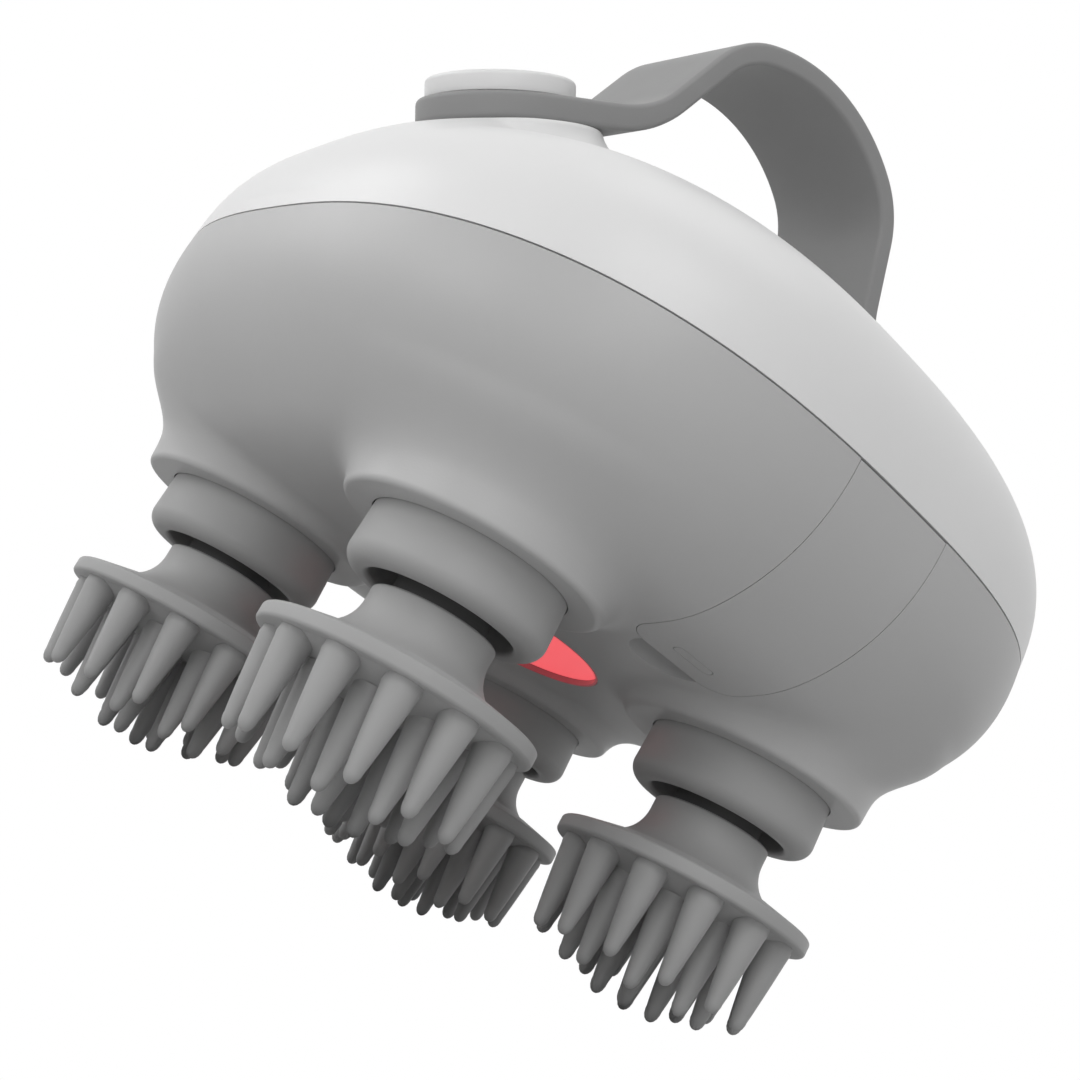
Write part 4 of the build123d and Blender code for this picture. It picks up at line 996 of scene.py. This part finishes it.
    def door(self, door: Piece, field: Field) -> None:
        """Builds the charging door and the charge window in it.

        Args:
            door: a copy of the solid lower body.
            field: the lower body's form.
        """
        top = self.form.seam_z - self.seam_half - self.door_gap
        combine(door, self.tongue(0, self.cutter_low, top), Cut.KEEP)
        combine(door, self.core(self.door_t, 0))
        window = linked("window_pill", door.data.copy())
        combine(window, self.pill(-self.pill_gap, self.cutter_low, self.pill_top), Cut.KEEP)
        combine(door, self.pill(0, self.cutter_low, self.pill_top))
        for piece, slot, node in ((door, "shell_grey", "port_cover"),
                                  (window, "window_grey", "charge_window")):
            shade_smooth(piece)
            true_normals(piece, field)
            settle(piece, "charging_door", self.palette.of(GREY_SHELL), slot, node)

    def lens(self) -> None:
        """Builds the lens with its painted glow, and the band of its recess with a fainter painted glow.
        """
        face_z = self.form.floor_z + self.lens_up
        rim = self.lens_r - self.lens_gap
        top = self.flange_z + self.flange_t
        wall_in_r = self.lens_wall_r - self.lens_wall_t
        profile = [(0, face_z - self.lens_dish), (8, face_z - 0.06), (12.4, face_z)]
        profile += arc((rim - self.lens_edge, face_z + self.lens_edge), self.lens_edge, -90, 0, 5)
        profile += [(rim, self.flange_z), (self.flange_r, self.flange_z), (self.flange_r, top),
                    (self.lens_wall_r, top), (self.lens_wall_r, self.lens_hole_top),
                    (wall_in_r, self.lens_hole_top), (wall_in_r, top), (0, top)]
        lens = lathe("glow_lens", profile, segments=160)
        # the painted glow shows where the lens is seen, but gives no diffuse light to the pieces round it
        lens.visible_diffuse = False
        settle(lens, "housing", self.palette.of(LENS_RED_PAINTED_GLOW), "lens_red", "led_lens")
        # the band round the lens's edge, darker red with a fainter painted glow
        inner, edge = rim - self.bezel_t, self.form.floor_z + self.lens_gap
        behind = face_z + 0.2
        bezel = lathe("lens_bezel", [(inner, behind), (inner, edge + self.bezel_round),
                                     (inner + self.bezel_round, edge), (rim, edge), (rim, behind)],
                      segments=160)
        settle(bezel, "housing", self.palette.of(LENS_WALL_RED_PAINTED_GLOW), "lens_red")


# ---- strap, button and stud ----------------------------------------------------------


@dataclass
class Strap(Maker):
    """The silicone finger strap, held by the button's pedestal and by a stud."""

    width: float = 19.8
    thick: float = 2.75
    lift: float = 0.05
    edge: float = 0.6
    top_z: float = 113.8
    top_r: float = 26.0
    shoulder_r: float = 13.0
    shoulder_turn: float = math.radians(30)
    leg: float = math.radians(70)
    bend_r: float = 16.0
    hole_r: float = 7.95
    ring_extra: float = 0.45
    seat_r: float = 9.0
    seat_z: float = 2.65
    ring_steps: int = 12
    leg_steps: int = 10
    length_steps: int = 170
    end_steps: int = 20
    edge_steps: int = 6
    rows: int = 9

    def bend_turn(self) -> float:
        """How far from its corner the bend from a ring to a leg begins."""
        return self.bend_r * math.tan((self.leg - self.form.neck_tilt) / 2)

    def centre_line(self) -> list[Point]:
        """Points of the strap's middle in the x-z plane from the middle of the left end to the top.

        Returns:
            Points about half a millimetre apart.
        """
        middle = self.lift + self.thick / 2
        crown_r = self.top_r - self.thick / 2
        crown_z = self.top_z - self.top_r
        tilt, leg = self.form.neck_tilt, self.leg
        end = (-self.form.neck_x - middle * math.sin(tilt), self.form.neck_z + middle * math.cos(tilt))
        step = self.top_r - self.shoulder_r
        shoulder = (-step * math.sin(self.shoulder_turn), crown_z + step * math.cos(self.shoulder_turn))
        shoulder_r = self.shoulder_r - self.thick / 2
        top = (shoulder[0] - shoulder_r * math.sin(leg), shoulder[1] + shoulder_r * math.cos(leg))
        across = (top[0] * math.tan(leg) - end[0] * math.tan(tilt) + end[1] - top[1])
        across /= math.tan(leg) - math.tan(tilt)
        corner = (across, end[1] + (across - end[0]) * math.tan(tilt))
        reach = self.bend_turn()
        first = (corner[0] - reach * math.cos(tilt), corner[1] - reach * math.sin(tilt))
        centre = (first[0] - self.bend_r * math.sin(tilt), first[1] + self.bend_r * math.cos(tilt))
        steps = self.ring_steps
        line = [(end[0] + (first[0] - end[0]) * t / steps, end[1] + (first[1] - end[1]) * t / steps)
                for t in range(steps)]
        line += arc(centre, self.bend_r, math.degrees(tilt) - 90, math.degrees(leg) - 90, 14)
        last = line[-1]
        steps = self.leg_steps
        line += [(last[0] + (top[0] - last[0]) * t / steps, last[1] + (top[1] - last[1]) * t / steps)
                 for t in range(1, steps)]
        turn = math.degrees(self.shoulder_turn)
        line += arc(shoulder, shoulder_r, 90 + math.degrees(leg), 90 + turn, 20)
        line += arc((0, crown_z), crown_r, 90 + turn, 90, 24)[1:]
        return line

    def layers(self, total: float) -> list[tuple[float, list[Point]]]:
        """The outlines of the flat strap from bottom to top, drawn in where its edges are round.

        Args:
            total: how far apart the middles of the strap's round ends are.

        Returns:
            Each layer's height, and half its outline as (along, half width) points.
        """
        half = self.width / 2
        runs = np.linspace(0, total, self.length_steps)
        caps = np.linspace(0, math.pi / 2, self.end_steps)[:-1]
        rings = [(self.edge * (1 - math.cos(a)), self.thick / 2 - self.edge * (1 - math.sin(a)))
                 for a in np.linspace(0, math.pi / 2, self.edge_steps)]
        layers = []
        for inset, height in [(i, -h) for i, h in rings[::-1]] + rings:
            radius = half - inset
            spots = [(-radius * math.cos(a), radius * math.sin(a)) for a in caps]
            spots += [(u, radius) for u in runs]
            spots += [(total + radius * math.cos(a), radius * math.sin(a)) for a in caps[::-1]]
            layers.append((height, spots))
        return layers

    def slab(self, total: float) -> tuple[Array, list[list[int]]]:
        """The flat strap, with x along it, y across it and z through it.

        Args:
            total: how far apart the middles of the strap's round ends are.

        Returns:
            Its points and its faces.
        """
        layers = self.layers(total)
        count = len(layers[0][1])
        ends = (0, count - 1)
        points: list[Triple] = []
        faces: list[list[int]] = []
        index: dict[tuple[int, int, int], int] = {}

        def spot(layer: int, column: int, side: int) -> int:
            """The vertex on a layer's outline at a column, on one side."""
            key = (layer, column, 0 if column in ends else side)
            if key not in index:
                height, spots = layers[layer]
                index[key] = len(points)
                points.append((spots[column][0], key[2] * spots[column][1], height))
            return index[key]

        def add_face(corners: list[int], forward: bool) -> None:
            """Adds a face without its repeated corners, where enough of them are left."""
            face = list(dict.fromkeys(corners))
            if len(face) > 2:
                faces.append(face if forward else face[::-1])

        for layer in range(len(layers) - 1):
            for column in range(count - 1):
                for side in (-1, 1):
                    add_face([spot(layer, column, side), spot(layer, column + 1, side),
                              spot(layer + 1, column + 1, side), spot(layer + 1, column, side)], side < 0)
        for layer, up in ((0, False), (len(layers) - 1, True)):
            height, spots = layers[layer]
            strips = []
            for column in range(count):
                if column in ends:
                    strips.append([spot(layer, column, 0)] * (self.rows + 1))
                    continue
                strip = [spot(layer, column, -1)]
                for row in range(1, self.rows):
                    points.append((spots[column][0], spots[column][1] * (2 * row / self.rows - 1), height))
                    strip.append(len(points) - 1)
                strips.append(strip + [spot(layer, column, 1)])
            for one, two in zip(strips, strips[1:]):
                for row in range(self.rows):
                    add_face([one[row], two[row], two[row + 1], one[row + 1]], up)
        return np.array(points), faces

    def build(self) -> None:
        """Builds the strap as one bent slab with round ends, and cuts its two rings."""
        left = self.centre_line()
        line = np.array(left + [(-x, z) for x, z in left[-2::-1]])
        length = np.concatenate([[0], np.cumsum(np.linalg.norm(np.diff(line, axis=0), axis=1))])
        flat, faces = self.slab(length[-1])
        strap = mesh_object("finger_strap", self.bend(flat, line, length), faces, crease=40)
        for side in (-1, 1):
            for radius, low, high in ((self.hole_r, -1, 4), (self.seat_r, self.seat_z, 7)):
                hole = lathe("hole", [(0, low), (radius, low), (radius, high), (0, high)])
                combine(strap, self.on_neck(hole, side))
        shade_smooth(strap, 40)
        settle(strap, "housing", self.palette.of(STRAP_SILICONE), "strap_grey", "hand_strap")

    def bend(self, flat: Array, line: Array, length: Array) -> Array:
        """Bends flat points along the strap's middle line.

        Args:
            flat: points with x along the strap, y across it and z through it.
            line: the middle line in the x-z plane.
            length: how far along the line each of its points is.

        Returns:
            The bent points.
        """
        along = np.gradient(line, length, axis=0)
        along /= np.linalg.norm(along, axis=1, keepdims=True)
        run = np.clip(flat[:, 0], 0, length[-1])
        beyond = flat[:, 0] - run
        spot = np.stack([np.interp(run, length, line[:, i]) for i in (0, 1)], axis=1)
        way = np.stack([np.interp(run, length, along[:, i]) for i in (0, 1)], axis=1)
        way /= np.linalg.norm(way, axis=1, keepdims=True)
        spot = spot + way * beyond[:, None]
        up = np.stack([-way[:, 1], way[:, 0]], axis=1)
        inward = np.minimum(run, length[-1] - run)
        straight = math.hypot(*(line[self.ring_steps] - line[0]))
        fade = np.clip(1 - (inward - straight) / (self.bend_r * (self.leg - self.form.neck_tilt)), 0, 1)
        share = flat[:, 2] / self.thick + 0.5
        raised = flat[:, 2] + self.ring_extra * share * fade ** 2 * (3 - 2 * fade)
        spot = spot + up * raised[:, None]
        return np.stack([spot[:, 0], flat[:, 1], spot[:, 1]], axis=1)


@dataclass
class ButtonAndStud(Maker):
    """The power button on its guide, and the stud cap that holds the strap's other end."""

    radius: float = 8.85
    seat: float = 3.35
    height: float = 2.35
    edge: float = 0.55
    dish: float = 0.12
    stem_r: float = 6.6
    stem_depth: float = 9.5
    stud_seat: float = 2.66
    stud_r: float = 7.8
    stud_depth: float = 12.0

    def cap_profile(self, low: float, stem_r: float, depth: float) -> list[Point]:
        """Profile of a cap with a stem below it."""
        top = self.seat + self.height
        profile = [(0, -depth), (stem_r, -depth), (stem_r, low)]
        profile += arc((self.radius - 0.1, low + 0.1), 0.1, -90, 0, 4)
        profile += arc((self.radius - self.edge, top - self.edge), self.edge, 0, 90, 8)
        profile += [(self.radius - 1.6, top - 0.02), (self.radius * 0.5, top - self.dish * 0.8),
                    (0, top - self.dish)]
        return profile

    def build(self) -> None:
        """Builds both caps and puts them on their pedestals."""
        button = lathe("press_cap", self.cap_profile(self.seat, self.stem_r, self.stem_depth))
        settle(self.on_neck(button, -1), "power_button", self.palette.of(BUTTON_WHITE), "button_white",
               "power_button")
        stud = lathe("stud_cap", self.cap_profile(self.stud_seat, self.stud_r, self.stud_depth))
        settle(self.on_neck(stud, 1), "housing", self.palette.of(BUTTON_WHITE), "button_white",
               "strap_stud")


# ---- massage heads -------------------------------------------------------------------


@dataclass
class HeadStation:
    """One head: its collar on the body, its shaft, and the silicone head with nodules.

    Each of the rings gives its number of nodules, its radius, its turn in degrees and its tips' height.
    """

    name: str
    centre: Point
    palette: Palette
    collar_r: float = 11.25
    collar_low_r: float = 11.45
    collar_z: float = 23.85
    collar_round: float = 1.9
    mouth_r: float = 8.45
    boss_z: float = 30.4
    room_z: float = 31.9
    flange_z: float = 33.1
    flange_r: float = 12.4
    seal_r: float = 7.2
    neck_r: float = 7.15
    neck_z: float = 23.1
    core_r: float = 6.4
    core_z: float = 16.0
    shaft_z: float = 17.2
    shaft_r: float = 5.4
    shaft_bevel: float = 0.3
    shoulder_z: float = 32.9
    gear_seat_r: float = 3.0
    gear_seat_z: float = 44.0
    pin_r: float = 2.0
    pin_bevel: float = 0.2
    pin_z: float = 46.2
    plate_z: float = 17.0
    plate_neck_r: float = 11.3
    neck_straight_z: float = 21.4
    rim_r: float = 15.7
    rim_z: float = 15.5
    crease_r: float = 13.7
    crease_z: float = 14.2
    crown_z: float = 11.1
    root_r: float = 2.05
    tip_r: float = 0.92
    rings: tuple = ((12, 12.6, 0.0, 3.3), (8, 8.25, 0.0, 1.6), (4, 3.4, 45.0, 0.0))

    def collar(self) -> None:
        """Builds the rounded collar that stands out of the boss."""
        inner, low, high = self.mouth_r, self.room_z, self.flange_z
        profile = arc((self.collar_low_r - self.collar_round, self.collar_z + self.collar_round),
                      self.collar_round, -90, 0, 14)
        profile += [(self.collar_r + 0.03, self.boss_z - 0.5), (self.collar_r, self.boss_z),
                    (self.collar_r, low), (self.flange_r, low), (self.flange_r, high),
                    (self.seal_r, high), (self.seal_r, low), (inner, low - 0.15),
                    (inner, self.collar_z + 0.6)]
        profile += arc((inner + 0.5, self.collar_z + 0.5), 0.5, 180, 270, 6)
        piece = lathe(f"collar_ring_{self.name}", profile, self.centre)
        settle(piece, "housing", self.palette.of(COLLAR_SILICONE), "collar_grey", f"collar_{self.name}")

    def shaft(self) -> None:
        """Builds the turned shaft: thick in the head and the seal, thin through the gear."""
        low, high, bevel = self.shaft_z, self.shoulder_z, self.shaft_bevel
        profile = [(0, low), (self.shaft_r - bevel, low), (self.shaft_r, low + bevel),
                   (self.shaft_r, high - bevel), (self.shaft_r - bevel, high), (self.gear_seat_r, high),
                   (self.gear_seat_r, self.gear_seat_z), (self.pin_r, self.gear_seat_z),
                   (self.pin_r, self.pin_z - self.pin_bevel), (self.pin_r - self.pin_bevel, self.pin_z),
                   (0, self.pin_z)]
        piece = lathe(f"turned_shaft_{self.name}", profile, self.centre, 64)
        settle(piece, f"head_{self.name}", self.palette.of(SHAFT_PLASTIC), "shaft_black",
               f"drive_shaft_{self.name}")

    def underside(self, radius: float) -> float:
        """Height of the head's domed underside at a radius."""
        return self.crease_z - (self.crease_z - self.crown_z) * (1 - (radius / self.crease_r) ** 2)

    def plate(self) -> Piece:
        """Builds the neck and the plate with its domed underside."""
        profile = [(0.0, self.crown_z)]
        profile += [(r, self.underside(r)) for r in np.linspace(1.5, self.crease_r - 0.3, 9)]
        low = self.crease_z - 0.04
        profile += [(self.crease_r, self.crease_z - 0.02), (self.crease_r + 0.5, low),
                    (self.rim_r - 0.5, low)]
        profile += arc((self.rim_r - 0.42, low + 0.42), 0.42, -80, 0, 5)[1:]
        profile += arc((self.rim_r - 0.35, self.rim_z + 0.1), 0.35, 0, 78, 6)
        reach = self.plate_neck_r - self.neck_r
        drop = self.neck_straight_z - self.plate_z
        for turn in np.linspace(90, 0, 14):
            across = 1 - math.cos(math.radians(turn))
            down = math.sin(math.radians(turn))
            profile.append((self.neck_r + reach * across, self.neck_straight_z - drop * down))
        profile += arc((self.neck_r - 0.4, self.neck_z - 0.4), 0.4, 0, 90, 6)
        profile += [(self.core_r, self.neck_z), (self.core_r, self.core_z), (0.0, self.core_z)]
        return lathe(f"plate_{self.name}", profile, self.centre, crease=40)

    def nodule(self) -> Piece:
        """A unit nodule from its root at z 0 to its tip at z -1, with swelled sides and a round root."""
        profile = [(0, -1.0), (0.30, -0.995), (0.62, -0.975), (0.86, -0.94), (0.985, -0.895), (1.0, -0.86)]
        slim = self.root_r / self.tip_r
        for share in np.linspace(0.1, 0.9, 6):
            profile.append((1 + (slim - 1) * share ** 0.9, -0.86 + 0.86 * share))
        profile += [(slim * 0.995, -0.04), (slim * 0.985, -0.015), (slim * 0.965, 0.01),
                    (slim * 0.965, 0.05), (0, 0.05)]
        scaled = [(r * self.tip_r, z) for r, z in profile]
        return lathe("nodule_template", scaled, segments=24, crease=60)

    def nodule_tree(self, template: Piece, material: Material) -> Tree:
        """Builds the tree that sets one nodule on each point of a ring.

        Args:
            template: the unit nodule.
            material: the finish of the nodules.

        Returns:
            The node group, with inputs Count, Radius, Turn, Root, Height and Centre.
        """
        tree = bpy.data.node_groups.new("nodule_ring", "GeometryNodeTree")
        for name, kind in (("Count", "Int"), ("Radius", "Float"), ("Turn", "Float"), ("Root", "Float"),
                           ("Height", "Float"), ("Centre", "Vector")):
            tree.interface.new_socket(name, in_out="INPUT", socket_type=f"NodeSocket{kind}")
        tree.interface.new_socket("Geometry", in_out="OUTPUT", socket_type="NodeSocketGeometry")
        given = tree.nodes.new("NodeGroupInput").outputs
        ring = add_node(tree, "GeometryNodeMeshCircle", {"Vertices": given["Count"],
                                                         "Radius": given["Radius"]})
        spin = add_node(tree, "ShaderNodeCombineXYZ", {"Z": given["Turn"]})
        rise = add_node(tree, "ShaderNodeCombineXYZ", {"Z": given["Root"]})
        place = add_node(tree, "ShaderNodeVectorMath", {0: given["Centre"], 1: rise}, "ADD")
        turned = add_node(tree, "GeometryNodeTransform", {"Geometry": ring, "Rotation": spin,
                                                          "Translation": place})
        source = add_node(tree, "GeometryNodeObjectInfo", {"Object": template})
        stretch = add_node(tree, "ShaderNodeMath", {0: given["Height"], 1: METRES}, "DIVIDE")
        size = add_node(tree, "ShaderNodeCombineXYZ", {"X": 1.0, "Y": 1.0, "Z": stretch})
        copies = add_node(tree, "GeometryNodeInstanceOnPoints", {
            "Points": turned, "Instance": source.outputs["Geometry"], "Scale": size})
        real = add_node(tree, "GeometryNodeRealizeInstances", {"Geometry": copies})
        dress = add_node(tree, "GeometryNodeSetMaterial", {"Geometry": real, "Material": material})
        add_node(tree, "NodeGroupOutput", {"Geometry": dress})
        return tree

    def nodules(self, tree: Tree) -> Piece:
        """Sets the rings of nodules under the plate and returns them as one plain mesh."""
        gathered = bmesh.new()
        holder = linked("nodule_holder", bpy.data.meshes.new("nodule_holder"))
        sockets = {item.name: item.identifier for item in tree.interface.items_tree}
        for count, radius, turn, tip_z in self.rings:
            root = self.underside(radius)
            step = holder.modifiers.new("ring", "NODES")
            step.node_group = tree
            values = {"Count": count, "Radius": radius * METRES, "Turn": math.radians(turn),
                      "Root": root * METRES, "Height": (root - tip_z) * METRES,
                      "Centre": (self.centre[0] * METRES, self.centre[1] * METRES, 0.0)}
            for name, value in values.items():
                step[sockets[name]] = value
            ring = evaluated_mesh(holder)
            gathered.from_mesh(ring)
            bpy.data.meshes.remove(ring)
            holder.modifiers.clear()
        discard(holder)
        mesh = bpy.data.meshes.new(f"nodules_{self.name}")
        gathered.to_mesh(mesh)
        gathered.free()
        piece = linked(mesh.name, mesh)
        shade_smooth(piece, 60)
        return piece

    def build(self, tree: Tree) -> None:
        """Builds the station's four pieces."""
        material = self.palette.of(HEAD_SILICONE)
        self.collar()
        self.shaft()
        settle(self.plate(), f"head_{self.name}", material, "head_grey", f"massage_head_{self.name}")
        settle(self.nodules(tree), f"head_{self.name}", material, "head_grey")


# ---- studio --------------------------------------------------------------------------


@dataclass(frozen=True)
class Lamp:
    """A round soft lamp: where it stands and how wide it is in metres, and its power in watts."""

    name: str
    at: Triple
    size: float
    power: float


@dataclass
class Studio:
    """Camera, lamps, world and floor. Lamps and their aim are in metres, other places in millimetres."""

    focal_px: float = 1785.27
    frame_px: float = 1080.0
    sensor_mm: float = 36.0
    camera_at: Triple = (-117.40, -174.69, -12.17)
    camera_right: Triple = (0.6561, -0.5899, 0.4706)
    camera_down: Triple = (0.5316, -0.0813, -0.8431)
    floor_half: float = 1200.0
    floor_z: float = -0.05
    floor_grey: float = 0.86
    floor_lift: float = 0.52
    ambient: float = 0.29
    aim: Triple = (0, 0, 0.055)
    lamps: tuple[Lamp, ...] = (
        Lamp("key_lamp", (-0.80, 0.0, 0.12), 0.5, 1.25),
        Lamp("back_lamp", (-0.60, 0.55, 0.35), 0.5, 1.4),
        Lamp("front_lamp", (-0.35, -0.55, 0.55), 0.5, 1.6),
        Lamp("low_lamp", (-0.55, -0.65, 0.10), 0.4, 0.7),
        Lamp("top_lamp", (0.0, 0.0, 0.9), 0.6, 0.8),
    )

    def camera(self) -> None:
        """Sets up the camera."""
        data = bpy.data.cameras.new("camera")
        data.sensor_width = self.sensor_mm
        data.lens = self.focal_px / self.frame_px * self.sensor_mm
        data.clip_start = 0.01
        eye = linked("camera", data)
        right = Vector(self.camera_right).normalized()
        up = -Vector(self.camera_down)
        up = (up - up.dot(right) * right).normalized()
        turn = Matrix((right, up, right.cross(up))).transposed()
        eye.matrix_world = Matrix.Translation(Vector(self.camera_at) * METRES) @ turn.to_4x4()
        bpy.context.scene.camera = eye

    def light(self, lamp: Lamp) -> None:
        """Adds a lamp that points at the middle of the object."""
        data = bpy.data.lights.new(lamp.name, "AREA")
        data.shape = "DISK"
        data.size = lamp.size
        data.energy = lamp.power
        holder = linked(lamp.name, data)
        spot = Vector(lamp.at)
        turn = (Vector(self.aim) - spot).to_track_quat("-Z", "Y").to_matrix()
        holder.matrix_world = Matrix.Translation(spot) @ turn.to_4x4()

    def world(self) -> None:
        """A plain ambient world that looks white where it is seen directly or mirrored."""
        world = bpy.data.worlds.new("studio")
        bpy.context.scene.world = world
        world.use_nodes = True
        tree = world.node_tree
        rays = tree.nodes.new("ShaderNodeLightPath").outputs
        seen = rays["Is Camera Ray"]
        for kind in ("Is Transmission Ray", "Is Glossy Ray"):
            seen = add_node(tree, "ShaderNodeMath", {0: seen, 1: rays[kind]}, "MAXIMUM")
        fill(tree, tree.nodes["Background"], {"Color": (1, 1, 1, 1),
                                              "Strength": varied(tree, seen, self.ambient, 1.0)})

    def floor(self) -> None:
        """A floor that looks white where it is seen, keeps the shadow, and is clear from below."""
        half = self.floor_half
        corners = ((-half, -half), (half, -half), (half, half), (-half, half))
        points = [(x, y, self.floor_z) for x, y in corners]
        floor = mesh_object("floor", points, [[0, 1, 2, 3]], smooth=False)
        material = bpy.data.materials.new("floor_paper")
        material.use_nodes = True
        tree = material.node_tree
        paper = tree.nodes["Principled BSDF"]
        seen = tree.nodes.new("ShaderNodeLightPath").outputs["Is Camera Ray"]
        fill(tree, paper, {
            "Base Color": (*grey(self.floor_grey), 1), "Roughness": 0.9, "Specular IOR Level": 0.1,
            "Emission Color": (1, 1, 1, 1), "Emission Strength": varied(tree, seen, 0.0, self.floor_lift)})
        face = tree.nodes.new("ShaderNodeNewGeometry")
        clear = tree.nodes.new("ShaderNodeBsdfTransparent")
        mix = add_node(tree, "ShaderNodeMixShader",
                       {"Fac": face.outputs["Backfacing"], 1: paper, 2: clear})
        fill(tree, tree.nodes["Material Output"], {"Surface": mix})
        floor.data.materials.append(material)

    def build(self) -> None:
        """Sets the whole studio."""
        bpy.context.scene.view_settings.view_transform = "Standard"
        self.camera()
        self.world()
        for lamp in self.lamps:
            self.light(lamp)
        self.floor()


def dress_nodes(frame: dict, palette: Palette, stations: Sequence[str]) -> None:
    """Gives each CAD node that stays visible its finish.

    Args:
        palette: the shared materials.
        stations: names of the head stations.
    """
    dressed = [(finish, node) for finish, nodes in NODES_OF_FINISH for node in nodes.split()]
    dressed += [(finish, f"{kind}_{station}") for station in stations
                for finish, kinds in STATION_FINISHES for kind in kinds.split()]
    for finish, node in dressed:
        piece = frame["nodes"][node]
        piece.data.materials.clear()
        piece.data.materials.append(palette.of(finish))
        LOG.info("%s keeps its solid and gets %s", node, finish.name)


def main() -> None:
    """Builds the scene piece by piece."""
    logging.basicConfig(level=logging.INFO, format="%(name)s: %(message)s")
    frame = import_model()
    form = BodyForm()
    palette = Palette()
    Studio().build()
    dress_nodes(frame, palette, list(form.stations))
    housing = Housing(form, palette)
    housing.top_cover()
    housing.lower_shell()
    housing.lens()
    Strap(form, palette).build()
    ButtonAndStud(form, palette).build()
    stations = [HeadStation(name, centre, palette) for name, centre in form.stations.items()]
    template = stations[0].nodule()
    tree = stations[0].nodule_tree(template, palette.of(HEAD_SILICONE))
    for station in stations:
        station.build(tree)
    discard(template)


if __name__ == "__main__":
    main()
